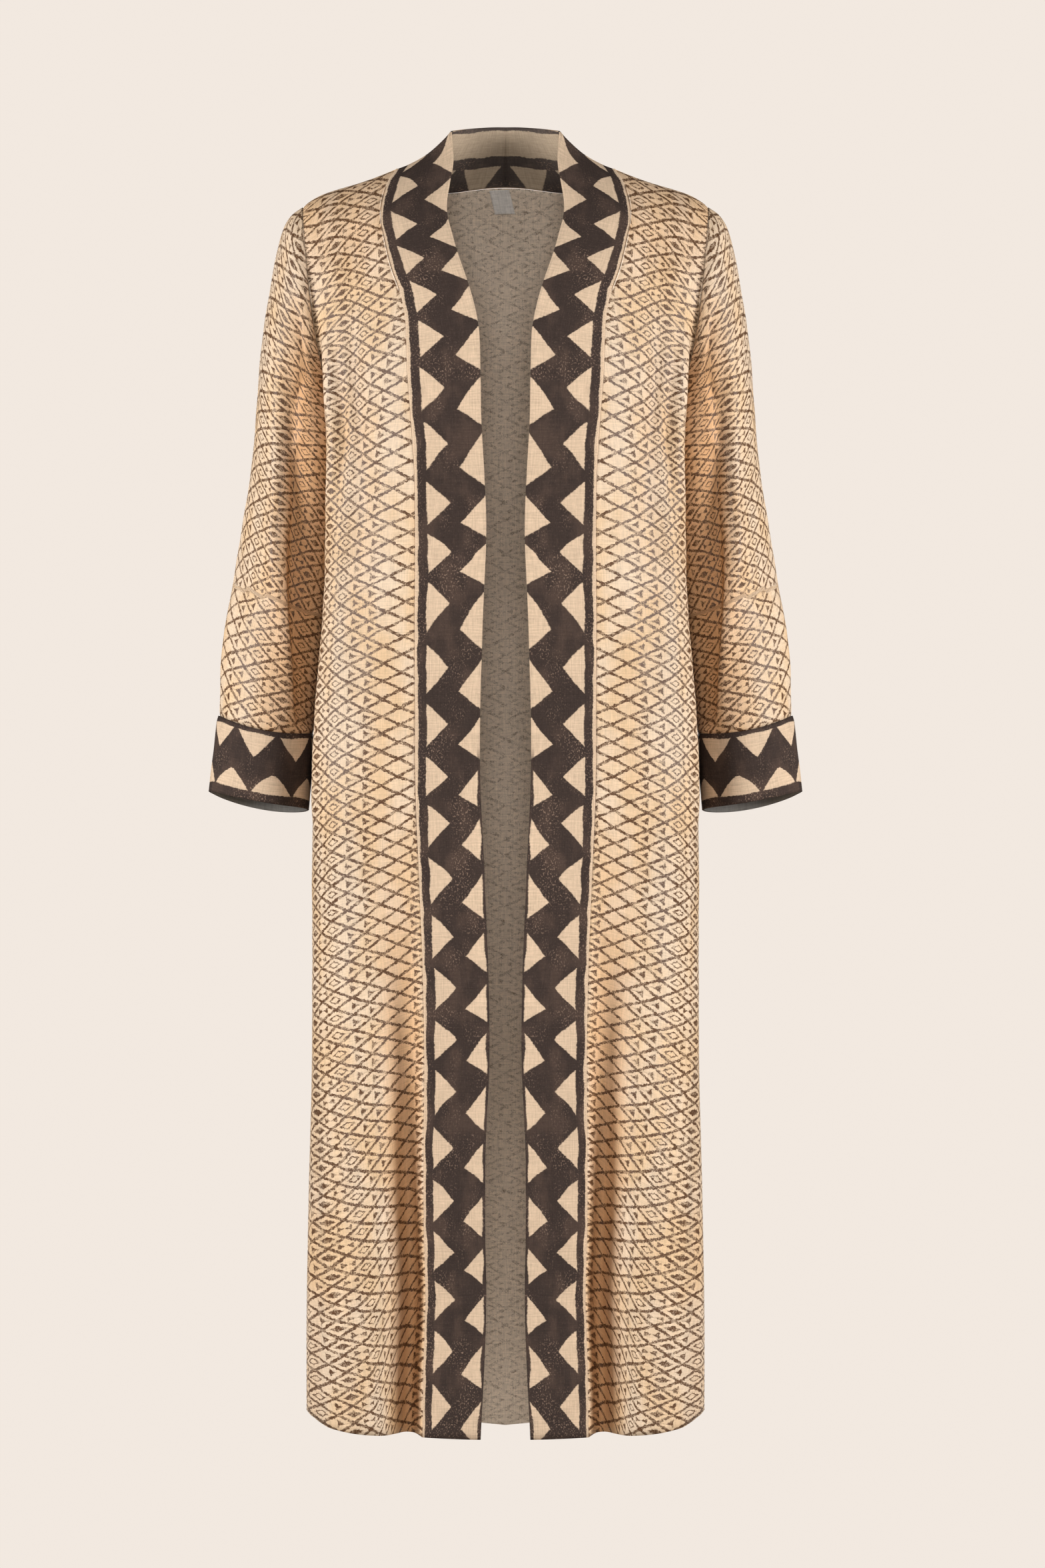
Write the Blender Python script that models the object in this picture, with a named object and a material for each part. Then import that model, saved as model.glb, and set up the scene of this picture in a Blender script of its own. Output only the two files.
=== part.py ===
"""Open-front duster coat, hollow and rounded as it is worn.

Metres, +Z up, front towards -Y. The origin is the middle of the neck opening, level with the points
where the shoulder seams meet the neck band. Each piece of cloth is a closed wall of its own.
"""
import math

import bmesh
import bpy
import numpy as np

# Cloth walls and the clearance between sewn edges
CLOTH = 0.0015
DOUBLE_CLOTH = 0.0022
LABEL_CLOTH = 0.0010
SEAM_GAP = 0.0003
CUFF_STEP = 0.0009

# Sections and columns of each wall
NECK_COLUMNS = 6
PANEL_COLUMNS = 13
ARMHOLE_ROWS = 11
SKIRT_ROWS = 23
BAND_COLUMNS = 5
SLEEVE_RINGS = 21
CUFF_RINGS = 3
LABEL_COLUMNS = 3
LABEL_ROWS = 4

# Heights of the main lines
NECK_BACK_Z = -0.0100
NECK_POINT_Z = 0.0005
ARMPIT_Z = -0.2400
HEM_FRONT_Z = -1.2220
HEM_SIDE_Z = -1.2085
HEM_BACK_Z = -1.2430

# Back of the neck, from the centre-back seam round to the shoulder seam
NECK_HALF_WIDTH = 0.1071
NECK_POINT_Y = 0.0040
NECK_BACK_Y = 0.0700
NECK_DIP = 0.0100
BAND_TOP_HALF_WIDTH = 0.0542
BAND_TOP_SIDE_Y = 0.0180
BAND_TOP_BACK_Y = 0.0760
BAND_TOP_SIDE_Z = 0.0385
BAND_TOP_BACK_Z = 0.0505

# Side of the front and back panels where they stand out beside the sleeve, as shares of a row
SWELL_CENTRE = 0.60
SWELL_HALF = 0.33
NECK_FADE = 0.75
SHOULDER_ARCH = 0.0048
SHOULDER_ARCH_LEAN = 2.5
SKIRT_ROUND_SHARE = 0.35

# Rows and columns near the armpit that are drawn smooth
EASED_FULL_ROWS = 3.6
EASED_ROWS = 9.6
EASED_COLUMNS = 8.0
EASED_PASSES = 30

# Width beside a sewn edge where the folds die out, and how often a seam's direction is averaged
BAND_SEAM_FLAT = 0.014
SIDE_SEAM_FLAT = 0.030
SEAM_PASSES = 2

# Label on the inside of the back panel
LABEL_WIDTH = 0.0200
LABEL_LENGTH = 0.0260
LABEL_DROP = 0.0008
LABEL_SLANT = 0.22
LABEL_X = -0.0062
LABEL_GAP = 0.0005
LABEL_PANEL_ROWS = 8


def table(columns, *rows):
    """A short table as one array of values for each named column."""
    return dict(zip(columns.split(), np.array(rows, float).T))


# The band down the front: its seam to the panel and its free edge, from the neck point to the hem
FRONT_BAND = table(
    "seam_z   seam_x  seam_y   edge_x  edge_y   edge_z   crown",
    (0.0005, 0.1071, 0.0040, 0.0542, 0.0180, 0.0385, -0.0058),
    (-0.0121, 0.1136, -0.0160, 0.0512, -0.0060, 0.0112, -0.0030),
    (-0.0306, 0.1190, -0.0360, 0.0541, -0.0300, -0.0179, 0.0005),
    (-0.0475, 0.1211, -0.0520, 0.0565, -0.0470, -0.0389, 0.0025),
    (-0.0829, 0.1155, -0.0750, 0.0512, -0.0730, -0.0717, 0.0020),
    (-0.1090, 0.1088, -0.0890, 0.0436, -0.0920, -0.0985, 0.0010),
    (-0.1306, 0.1010, -0.0985, 0.0366, -0.1040, -0.1194, 0.0010),
    (-0.1508, 0.0966, -0.1055, 0.0307, -0.1130, -0.1399, 0.0010),
    (-0.1758, 0.0948, -0.1115, 0.0254, -0.1200, -0.1669, 0.0015),
    (-0.2054, 0.0938, -0.1155, 0.0240, -0.1260, -0.2015, 0.0015),
    (-0.2544, 0.0901, -0.1185, 0.0231, -0.1300, -0.2533, 0.0015),
    (-0.3079, 0.0868, -0.1190, 0.0202, -0.1310, -0.3087, 0.0015),
    (-0.3468, 0.0862, -0.1180, 0.0185, -0.1300, -0.3475, 0.0015),
    (-0.4441, 0.0865, -0.1160, 0.0216, -0.1280, -0.4446, 0.0015),
    (-0.5415, 0.0863, -0.1150, 0.0243, -0.1275, -0.5417, 0.0015),
    (-0.6000, 0.0860, -0.1145, 0.0241, -0.1270, -0.6000, 0.0015),
    (-0.6838, 0.0828, -0.1140, 0.0202, -0.1265, -0.6836, 0.0020),
    (-0.7852, 0.0788, -0.1135, 0.0163, -0.1275, -0.7847, 0.0020),
    (-0.8661, 0.0776, -0.1125, 0.0154, -0.1290, -0.8654, 0.0020),
    (-0.9440, 0.0783, -0.1110, 0.0192, -0.1300, -0.9431, 0.0025),
    (-1.0190, 0.0783, -0.1100, 0.0196, -0.1310, -1.0180, 0.0025),
    (-1.0922, 0.0766, -0.1085, 0.0188, -0.1320, -1.0909, 0.0030),
    (-1.1506, 0.0785, -0.1075, 0.0204, -0.1330, -1.1491, 0.0030),
    (-1.2220, 0.0795, -0.1070, 0.0240, -0.1340, -1.2205, 0.0030),
)

# Side seam below the armhole: where it runs, and how far the panels swell out before and behind it
SIDE_SEAM = table(
    "z        x       y       swell",
    (-0.240, 0.1500, 0.0040, 0.0330),
    (-0.264, 0.1508, 0.0040, 0.0312),
    (-0.280, 0.1520, 0.0040, 0.0292),
    (-0.305, 0.1542, 0.0040, 0.0255),
    (-0.340, 0.1578, 0.0040, 0.0210),
    (-0.385, 0.1620, 0.0035, 0.0180),
    (-0.433, 0.1672, 0.0030, 0.0172),
    (-0.489, 0.1732, 0.0020, 0.0170),
    (-0.551, 0.1816, 0.0000, 0.0180),
    (-0.600, 0.1862, 0.0000, 0.0130),
    (-0.660, 0.1874, 0.0000, 0.0040),
    (-0.745, 0.1875, 0.0000, 0.0000),
    (-0.876, 0.1888, 0.0000, 0.0000),
    (-0.980, 0.1914, 0.0000, 0.0000),
    (-1.070, 0.1936, 0.0000, 0.0000),
    (-1.240, 0.1944, 0.0000, 0.0000),
)

# Centre-back line
BACK_LINE = table(
    "z        y",
    (-0.012, 0.0700),
    (-0.040, 0.0860),
    (-0.080, 0.1010),
    (-0.130, 0.1120),
    (-0.185, 0.1170),
    (-0.240, 0.1170),
    (-0.310, 0.1130),
    (-0.390, 0.1095),
    (-0.470, 0.1120),
    (-0.560, 0.1185),
    (-0.660, 0.1240),
    (-0.800, 0.1270),
    (-1.000, 0.1290),
    (-1.240, 0.1310),
)

# How round the rows lie above the armpit and down to the hem: 1 straight, 2 a quarter oval
ROUNDING = table(
    "share front_round back_round swell",
    (0.00, 1.00, 1.50, 0.0000),
    (0.30, 1.10, 1.70, 0.0000),
    (0.50, 1.25, 1.85, 0.0040),
    (0.70, 1.45, 1.95, 0.0140),
    (0.85, 1.65, 2.00, 0.0245),
    (1.00, 1.85, 2.10, 0.0330),
)
SKIRT_FRONT_ROUND = 2.55
SKIRT_BACK_ROUND = 2.30

# Sleeve: its outer and inner lines, its front and back, how early a ring leaves its inner line, and how
# far its front and back hang: the back by its tilt, both by its dip
SLEEVE = table(
    "share out_x  out_y   out_z   in_x   in_y    in_z    front_y back_y lead tilt dip",
    (0.00, 0.1982, 0.0080, -0.0368, 0.1500, 0.0040, -0.2400, -0.0500, 0.0560, 0.35, 0.000, 0.000),
    (0.05, 0.2080, 0.0080, -0.0450, 0.1508, 0.0040, -0.2465, -0.0540, 0.0600, 0.48, 0.000, 0.000),
    (0.10, 0.2162, 0.0080, -0.0580, 0.1518, 0.0040, -0.2540, -0.0570, 0.0630, 0.62, 0.000, 0.000),
    (0.17, 0.2245, 0.0080, -0.0860, 0.1535, 0.0040, -0.2650, -0.0595, 0.0650, 0.78, 0.000, 0.000),
    (0.25, 0.2318, 0.0080, -0.1250, 0.1555, 0.0040, -0.2810, -0.0610, 0.0660, 0.90, 0.000, 0.000),
    (0.35, 0.2385, 0.0080, -0.1750, 0.1582, 0.0040, -0.3050, -0.0615, 0.0660, 0.97, 0.000, 0.000),
    (0.46, 0.2434, 0.0080, -0.2350, 0.1618, 0.0040, -0.3400, -0.0610, 0.0650, 1.00, 0.000, 0.001),
    (0.59, 0.2504, 0.0060, -0.3100, 0.1662, 0.0030, -0.3850, -0.0600, 0.0620, 1.00, 0.000, 0.002),
    (0.72, 0.2624, 0.0030, -0.3850, 0.1715, 0.0010, -0.4330, -0.0600, 0.0580, 1.00, 0.000, 0.004),
    (0.86, 0.2752, -0.0020, -0.4600, 0.1778, -0.0020, -0.4890, -0.0600, 0.0530, 1.00, 0.000, 0.005),
    (1.00, 0.2788, -0.0060, -0.5335, 0.1870, -0.0060, -0.5510, -0.0600, 0.0480, 1.00, 0.000, 0.006),
)
CUFF = table(
    "share out_x  out_y   out_z   in_x   in_y    in_z    front_y back_y lead tilt dip",
    (0.00, 0.2788, -0.0060, -0.5335, 0.1870, -0.0060, -0.5510, -0.0600, 0.0480, 1.00, 0.000, 0.006),
    (0.50, 0.2832, -0.0075, -0.5705, 0.1892, -0.0075, -0.5880, -0.0620, 0.0470, 1.00, 0.040, 0.005),
    (1.00, 0.2881, -0.0090, -0.6075, 0.1925, -0.0090, -0.6250, -0.0645, 0.0465, 1.00, 0.080, 0.0045),
)

# Folds that run down a panel: reach from the band seam (front) or the centre line (back)
FRONT_FOLDS = table(
    "reach_top reach_hem spread start_z full_z fade_z end_z  rise",
    (0.032, 0.020, 0.015, -0.480, -1.080, -2.00, -2.10, -0.0115),
    (0.078, 0.072, 0.034, -0.620, -1.020, -2.00, -2.10, 0.0060),
    (0.128, 0.130, 0.024, -0.700, -1.160, -2.00, -2.10, -0.0055),
    (0.062, 0.086, 0.018, -0.110, -0.220, -0.36, -0.56, -0.0030),
)
BACK_FOLDS = table(
    "reach_top reach_hem spread start_z full_z fade_z end_z  rise",
    (0.048, 0.056, 0.026, -0.330, -1.050, -2.00, -2.10, 0.0065),
    (0.094, 0.112, 0.026, -0.380, -1.100, -2.00, -2.10, -0.0085),
    (0.140, 0.168, 0.028, -0.480, -1.120, -2.00, -2.10, 0.0060),
    (0.110, 0.128, 0.020, -0.110, -0.210, -0.30, -0.48, -0.0035),
)
# Folds along a sleeve: angles run from its outer line over the front
SLEEVE_FOLDS = table(
    "angle_top angle_end spread start full fade  end  rise",
    (104.0, 140.0, 17.0, 0.42, 0.66, 0.88, 0.99, -0.0060),
    (70.0, 98.0, 20.0, 0.50, 0.68, 0.82, 0.96, 0.0030),
    (232.0, 214.0, 18.0, 0.40, 0.62, 0.84, 0.98, -0.0050),
    (282.0, 258.0, 22.0, 0.30, 0.52, 0.74, 0.94, 0.0030),
)

# Colours of the cloth
PRINT_COLOUR = (0.62, 0.45, 0.30, 1.0)
BORDER_COLOUR = (0.12, 0.085, 0.065, 1.0)
LABEL_COLOUR = (0.70, 0.66, 0.60, 1.0)
CLOTH_ROUGHNESS = 0.85


def smooth(at, knots, values):
    """Values of a smooth curve through a table's column."""
    order = np.argsort(knots)
    knots = knots[order]
    values = values[order]
    slope = np.gradient(values, knots)
    left = np.clip(np.searchsorted(knots, at) - 1, 0, len(knots) - 2)
    length = knots[left + 1] - knots[left]
    t = (at - knots[left]) / length
    rise = values[left + 1] - values[left]
    bend_in = slope[left] * length - rise
    bend_out = rise - slope[left + 1] * length
    return values[left] + rise * t + t * (1 - t) * (bend_in * (1 - t) + bend_out * t)


def ease(share):
    """A soft step from 0 to 1."""
    share = np.clip(share, 0.0, 1.0)
    return share * share * (3 - 2 * share)


def unit(vectors):
    """Vectors brought to length 1."""
    return vectors / np.linalg.norm(vectors, axis=-1, keepdims=True)


def facing(grid, side, closed=False):
    """Directions square to a grid of points, on the side given by a sign."""
    down = np.gradient(grid, axis=0)
    if closed:
        across = np.roll(grid, -1, axis=1) - np.roll(grid, 1, axis=1)
    else:
        across = np.gradient(grid, axis=1)
    return side * unit(np.cross(down, across))


def spread(start, end, roundness, swell, shares):
    """Rows of points from a start line to an end line, rounded, with a swell beside the end."""
    angle = shares * math.pi / 2
    power = 2 / roundness[:, None]
    along = np.sin(angle) ** power
    across = 1 - np.cos(angle) ** power
    off_centre = np.clip((shares - SWELL_CENTRE) / SWELL_HALF, -1, 1)
    hump = np.cos(off_centre * math.pi / 2) ** 2
    mix = np.stack([along, across, (along + across) / 2], axis=-1)
    grid = start[:, None] + (end - start)[:, None] * mix
    grid[..., 0] += swell[:, None] * hump
    return grid


def folded(grid, side, folds):
    """A panel's grid with its folds raised from it; its sewn edges stay where they are."""
    steps = np.linalg.norm(np.diff(grid, axis=1), axis=-1)
    reach = np.concatenate([np.zeros((len(grid), 1)), np.cumsum(steps, axis=1)], axis=1)
    z = grid[..., 2]
    to_hem = np.clip((ARMPIT_Z - z) / (ARMPIT_Z - HEM_SIDE_Z), 0, 1)
    rise = np.zeros(z.shape)
    for k in range(len(folds["rise"])):
        fold = {name: column[k] for name, column in folds.items()}
        middle = fold["reach_top"] + (fold["reach_hem"] - fold["reach_top"]) * to_hem
        begin = ease((fold["start_z"] - z) / (fold["start_z"] - fold["full_z"]))
        finish = 1 - ease((fold["fade_z"] - z) / (fold["fade_z"] - fold["end_z"]))
        rise += fold["rise"] * begin * finish * np.exp(-((reach - middle) / fold["spread"]) ** 2)
    rise *= ease((reach[:, -1:] - reach) / SIDE_SEAM_FLAT)
    if side < 0:
        return grid - facing(grid, 1) * rise[..., None]
    return grid + facing(grid, 1) * (rise * ease(reach / BAND_SEAM_FLAT))[..., None]


def rings(sections, shares, angles):
    """Rings of a sleeve: angle 0 on its outer line, then over the front, its inner line and the back."""
    at = {name: smooth(shares, sections["share"], column)[:, None] for name, column in sections.items()}
    outward = (1 + np.cos(angles)) / 2
    turn = np.sin(angles)
    middle = at["in_y"] + (at["out_y"] - at["in_y"]) * outward
    ahead = (at["front_y"] - middle) * np.clip(turn, 0, 1)
    behind = (at["back_y"] - middle) * np.clip(-turn, 0, 1)
    x = at["in_x"] + (at["out_x"] - at["in_x"]) * outward ** at["lead"]
    z = at["in_z"] + (at["out_z"] - at["in_z"]) * outward
    z = z - at["tilt"] * (ahead + behind) - at["dip"] * turn ** 2
    return np.stack([x, middle + ahead + behind, z], axis=-1)


def creased(grid, shares, angles):
    """A sleeve's rings with its folds raised from them."""
    rise = np.zeros(grid.shape[:2])
    share = shares[:, None]
    for k in range(len(SLEEVE_FOLDS["rise"])):
        fold = {name: column[k] for name, column in SLEEVE_FOLDS.items()}
        middle = np.radians(fold["angle_top"] + (fold["angle_end"] - fold["angle_top"]) * share)
        begin = ease((share - fold["start"]) / (fold["full"] - fold["start"]))
        finish = 1 - ease((share - fold["fade"]) / (fold["end"] - fold["fade"]))
        rise += fold["rise"] * begin * finish * np.exp(-((angles - middle) / np.radians(fold["spread"])) ** 2)
    return grid + facing(grid, -1, closed=True) * rise[..., None]


def across_seam(line, normal, towards):
    """Half a seam gap at each point of a seam, square to it and to the cloth, towards one side."""
    step = unit(np.cross(np.gradient(line, axis=0), normal))
    side = np.sign((step * towards).sum(axis=-1, keepdims=True))
    return step * side * SEAM_GAP / 2


# Rows: from the shoulder down the armhole, then from the armpit to the hem
armhole_share = np.linspace(0, 1, ARMHOLE_ROWS + 1)
skirt_share = np.linspace(0, 1, SKIRT_ROWS + 1)[1:]
row_round = {name: smooth(armhole_share, ROUNDING["share"], column) for name, column in ROUNDING.items()}


def heights(top, hem):
    """Row heights along one edge of a panel."""
    return np.concatenate([top + (ARMPIT_Z - top) * armhole_share, ARMPIT_Z + (hem - ARMPIT_Z) * skirt_share])


def eased(grid):
    """A panel's grid drawn smooth down its columns where the armhole runs into the side seam."""
    row = np.arange(len(grid))
    column = np.arange(grid.shape[1] - 1, -1, -1)
    near = ease((EASED_ROWS - np.abs(row - ARMHOLE_ROWS)) / (EASED_ROWS - EASED_FULL_ROWS))
    share = near[:, None] * ease(column / EASED_COLUMNS)[None, :]
    share[:, 0] = 0.0
    for _ in range(EASED_PASSES):
        settled = (grid[:-2] + 2 * grid[1:-1] + grid[2:]) / 4
        grid[1:-1] += (settled - grid[1:-1]) * share[1:-1, :, None]
    return grid


# Armhole ring, shared by the sleeve and the panels
ring_angles = np.linspace(0, 2 * math.pi, 2 * ARMHOLE_ROWS, endpoint=False)
sleeve_share = np.linspace(0, 1, SLEEVE_RINGS + 1)
sleeve = creased(rings(SLEEVE, sleeve_share, ring_angles), sleeve_share, ring_angles)
armhole = sleeve[0]
front_ring = np.arange(ARMHOLE_ROWS + 1)
back_ring = (-front_ring) % (2 * ARMHOLE_ROWS)

# Side seam
side_z = heights(NECK_POINT_Z, HEM_SIDE_Z)[ARMHOLE_ROWS + 1:]
side_x = smooth(side_z, SIDE_SEAM["z"], SIDE_SEAM["x"])
side_y = smooth(side_z, SIDE_SEAM["z"], SIDE_SEAM["y"])
side_swell = smooth(side_z, SIDE_SEAM["z"], SIDE_SEAM["swell"])
side_line = np.stack([side_x, side_y, side_z], axis=-1)
swell = np.concatenate([row_round["swell"], side_swell])

# Band lines down the front and round the back of the neck
band_z = heights(NECK_POINT_Z, HEM_FRONT_Z)
band_at = {name: smooth(band_z, FRONT_BAND["seam_z"], column) for name, column in FRONT_BAND.items()}
front_seam = np.stack([band_at["seam_x"], band_at["seam_y"], band_z], axis=-1)
front_edge = np.stack([band_at["edge_x"], band_at["edge_y"], band_at["edge_z"]], axis=-1)
neck_angle = np.linspace(0, math.pi / 2, NECK_COLUMNS + 1)
neck_turn = np.cos(neck_angle)
neck_seam = np.stack([
    NECK_HALF_WIDTH * np.sin(neck_angle),
    NECK_POINT_Y + (NECK_BACK_Y - NECK_POINT_Y) * neck_turn,
    NECK_POINT_Z + (NECK_BACK_Z - NECK_POINT_Z) * neck_turn - NECK_DIP * np.sin(2 * neck_angle) ** 2,
], axis=-1)
neck_edge = np.stack([
    BAND_TOP_HALF_WIDTH * np.sin(neck_angle),
    BAND_TOP_SIDE_Y + (BAND_TOP_BACK_Y - BAND_TOP_SIDE_Y) * neck_turn,
    BAND_TOP_SIDE_Z + (BAND_TOP_BACK_Z - BAND_TOP_SIDE_Z) * neck_turn,
], axis=-1)

# Front panel, from the band seam out to the armhole and the side seam
panel_share = np.linspace(0, 1, PANEL_COLUMNS + 1)
skirt_ease = ease(skirt_share / SKIRT_ROUND_SHARE)
front_round = np.concatenate([
    row_round["front_round"],
    row_round["front_round"][-1] + (SKIRT_FRONT_ROUND - row_round["front_round"][-1]) * skirt_ease,
])
front_end = np.concatenate([armhole[front_ring], side_line])
front = spread(front_seam, front_end, front_round, swell, panel_share)
shoulder_share = (front[0, :, 0] - front[0, 0, 0]) / (front[0, -1, 0] - front[0, 0, 0])
shoulder_lift = SHOULDER_ARCH * np.sin(math.pi * shoulder_share ** SHOULDER_ARCH_LEAN)
front[:ARMHOLE_ROWS + 1, :, 2] += shoulder_lift * ((1 - armhole_share) ** 2)[:, None]
front = eased(front)
front = folded(front, 1, FRONT_FOLDS)

# Back panel, right half, from the centre line out to the armhole and the side seam
back_share = np.linspace(0, 1, NECK_COLUMNS + PANEL_COLUMNS + 1)
back_z = heights(NECK_BACK_Z, HEM_BACK_Z)
back_line = np.stack([np.zeros(len(back_z)), smooth(back_z, BACK_LINE["z"], BACK_LINE["y"]), back_z], axis=-1)
back_round = np.concatenate([
    row_round["back_round"],
    row_round["back_round"][-1] + (SKIRT_BACK_ROUND - row_round["back_round"][-1]) * skirt_ease,
])
back_end = np.concatenate([armhole[back_ring], side_line])
back = spread(back_line, back_end, back_round, swell, back_share)
top_edge = np.concatenate([neck_seam, front[0, 1:]])
top_fade = np.clip(1 - armhole_share / NECK_FADE, 0, 1) ** 2
back[:ARMHOLE_ROWS + 1] += (top_edge - back[0]) * top_fade[:, None, None]
back = folded(eased(back), -1, BACK_FOLDS)
back[:, 0, 0] = 0.0

# Band, from the centre-back seam round the neck and down the front
band_seam = np.concatenate([neck_seam, front_seam[1:]])
band_edge = np.concatenate([neck_edge, front_edge[1:]])
neck_crown = band_at["crown"][0] * np.sin(neck_angle[:-1])
crown = np.concatenate([neck_crown, band_at["crown"]])
band_share = np.linspace(0, 1, BAND_COLUMNS + 1)
band = band_seam[:, None] + (band_edge - band_seam)[:, None] * band_share[None, :, None]
arch = (4 * band_share * (1 - band_share))[None, :, None] * crown[:, None, None]
band = band + facing(band, -1) * arch
band[0, :, 0] = 0.0

# Cuff, a little proud of the sleeve end
cuff_share = np.linspace(0, 1, CUFF_RINGS + 1)
cuff = rings(CUFF, cuff_share, ring_angles)
cuff[0] = sleeve[-1]

# Which way each piece faces; sewn edges share one direction so that their rims lie side by side
front_out = facing(front, 1)
back_out = facing(back, -1)
band_out = facing(band, -1)
sleeve_out = facing(sleeve, -1, closed=True)
cuff_out = facing(cuff, -1, closed=True)
back_out[:, 0, 0] = 0.0
back_out = unit(back_out)

shoulder_out = unit(front_out[0] + back_out[0, NECK_COLUMNS:])
side_out = unit(front_out[ARMHOLE_ROWS:, -1] + back_out[ARMHOLE_ROWS:, -1])
panel_edge_out = np.concatenate([back_out[0, :NECK_COLUMNS], front_out[:, 0]])
seam_out = unit(panel_edge_out + band_out[:, 0])
seam_out[NECK_COLUMNS] = unit(front_out[0, 0] + back_out[0, NECK_COLUMNS] + band_out[NECK_COLUMNS, 0])
for _ in range(SEAM_PASSES):
    seam_out[1:-1] = unit(seam_out[:-2] + 2 * seam_out[1:-1] + seam_out[2:])
band_out[0, :, 0] = 0.0
seam_out[0, 0] = 0.0
seam_out = unit(seam_out)
shoulder_out[0] = seam_out[NECK_COLUMNS]
armhole_line = unit(np.roll(armhole, -1, axis=0) - np.roll(armhole, 1, axis=0))
from_middle = armhole - armhole.mean(axis=0)
from_middle[:, 0] = 0.0
armhole_out = unit(from_middle - (from_middle * armhole_line).sum(-1, keepdims=True) * armhole_line)
cuff_seam_out = unit(sleeve_out[-1] + cuff_out[0])

front_out[0] = shoulder_out
back_out[0, NECK_COLUMNS:] = shoulder_out
front_out[ARMHOLE_ROWS:, -1] = side_out
back_out[ARMHOLE_ROWS:, -1] = side_out
front_out[:, 0] = seam_out[NECK_COLUMNS:]
back_out[0, :NECK_COLUMNS + 1] = seam_out[:NECK_COLUMNS + 1]
band_out[:, 0] = seam_out
front_out[:ARMHOLE_ROWS + 1, -1] = armhole_out[front_ring]
back_out[:ARMHOLE_ROWS + 1, -1] = armhole_out[back_ring]
sleeve_out[0] = armhole_out
sleeve_out[-1] = cuff_seam_out
cuff_out[0] = cuff_seam_out
band_out = unit(band_out)

# Sewn edges drawn half a gap to either side
forward = np.array([0.0, -1.0, 0.0])
outward = np.array([1.0, 0.0, 0.0])
shoulder_step = across_seam(front[0], shoulder_out, forward)
side_step = across_seam(front[ARMHOLE_ROWS:, -1], side_out, forward)
panel_side = np.concatenate([back[1, :NECK_COLUMNS] - back[0, :NECK_COLUMNS], front[:, 1] - front[:, 0]])
seam_step = across_seam(band_seam, seam_out, panel_side)
armhole_step = np.cross(armhole_line, armhole_out)
armhole_step *= np.sign((armhole_step * outward).sum(-1, keepdims=True)) * SEAM_GAP / 2
cuff_step = unit(cuff[1] - cuff[0]) * SEAM_GAP / 2

front[0] += shoulder_step
front[ARMHOLE_ROWS:, -1] += side_step
front[:ARMHOLE_ROWS + 1, -1] -= armhole_step[front_ring]
front[:, 0] += seam_step[NECK_COLUMNS:]
back[0, NECK_COLUMNS:] -= shoulder_step
back[ARMHOLE_ROWS:, -1] -= side_step
back[:ARMHOLE_ROWS + 1, -1] -= armhole_step[back_ring]
back[0, :NECK_COLUMNS + 1] += seam_step[:NECK_COLUMNS + 1]
band[:, 0] -= seam_step
band[0, :, 0] += SEAM_GAP / 2
sleeve[0] += armhole_step
sleeve[-1] -= cuff_step
cuff[0] += cuff_step
cuff = cuff + cuff_out * CUFF_STEP

# Both halves of the back panel
flip = np.array([-1.0, 1.0, 1.0])
back = np.concatenate([back[:, :0:-1] * flip, back], axis=1)
back_out = np.concatenate([back_out[:, :0:-1] * flip, back_out], axis=1)
back_inside = back - back_out * CLOTH

# Label: laid on the inside of the back panel below the neck seam
label_rows = np.linspace(0, 1, LABEL_ROWS + 1)
label_columns = np.linspace(-0.5, 0.5, LABEL_COLUMNS + 1)
label = np.zeros((LABEL_ROWS + 1, LABEL_COLUMNS + 1, 3))
label_out = np.zeros(label.shape)
middle_column = NECK_COLUMNS + PANEL_COLUMNS
label_ground = back_inside[:LABEL_PANEL_ROWS]
ground_out = back_out[:LABEL_PANEL_ROWS]
drops = np.linalg.norm(np.diff(label_ground[:, middle_column], axis=0), axis=-1)
depth = np.concatenate([[0.0], np.cumsum(drops)])
for i, share in enumerate(label_rows):
    down = LABEL_DROP + share * LABEL_LENGTH
    line = np.array([[np.interp(down, depth, label_ground[:, c, k]) for k in range(3)]
                     for c in range(back.shape[1])])
    turn = np.array([[np.interp(down, depth, ground_out[:, c, k]) for k in range(3)]
                     for c in range(back.shape[1])])
    for j, place in enumerate(label_columns):
        x = LABEL_X + place * LABEL_WIDTH + share * LABEL_LENGTH * LABEL_SLANT
        label[i, j] = [np.interp(x, line[:, 0], line[:, k]) for k in range(3)]
        label_out[i, j] = [np.interp(x, line[:, 0], turn[:, k]) for k in range(3)]
label_out = unit(label_out)
label = label - label_out * LABEL_GAP


def cloth(name, colour):
    """A plain cloth material."""
    material = bpy.data.materials.new(name)
    material.use_nodes = True
    shader = material.node_tree.nodes["Principled BSDF"]
    shader.inputs["Base Color"].default_value = colour
    shader.inputs["Roughness"].default_value = CLOTH_ROUGHNESS
    shader.inputs["Metallic"].default_value = 0.0
    return material


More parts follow.
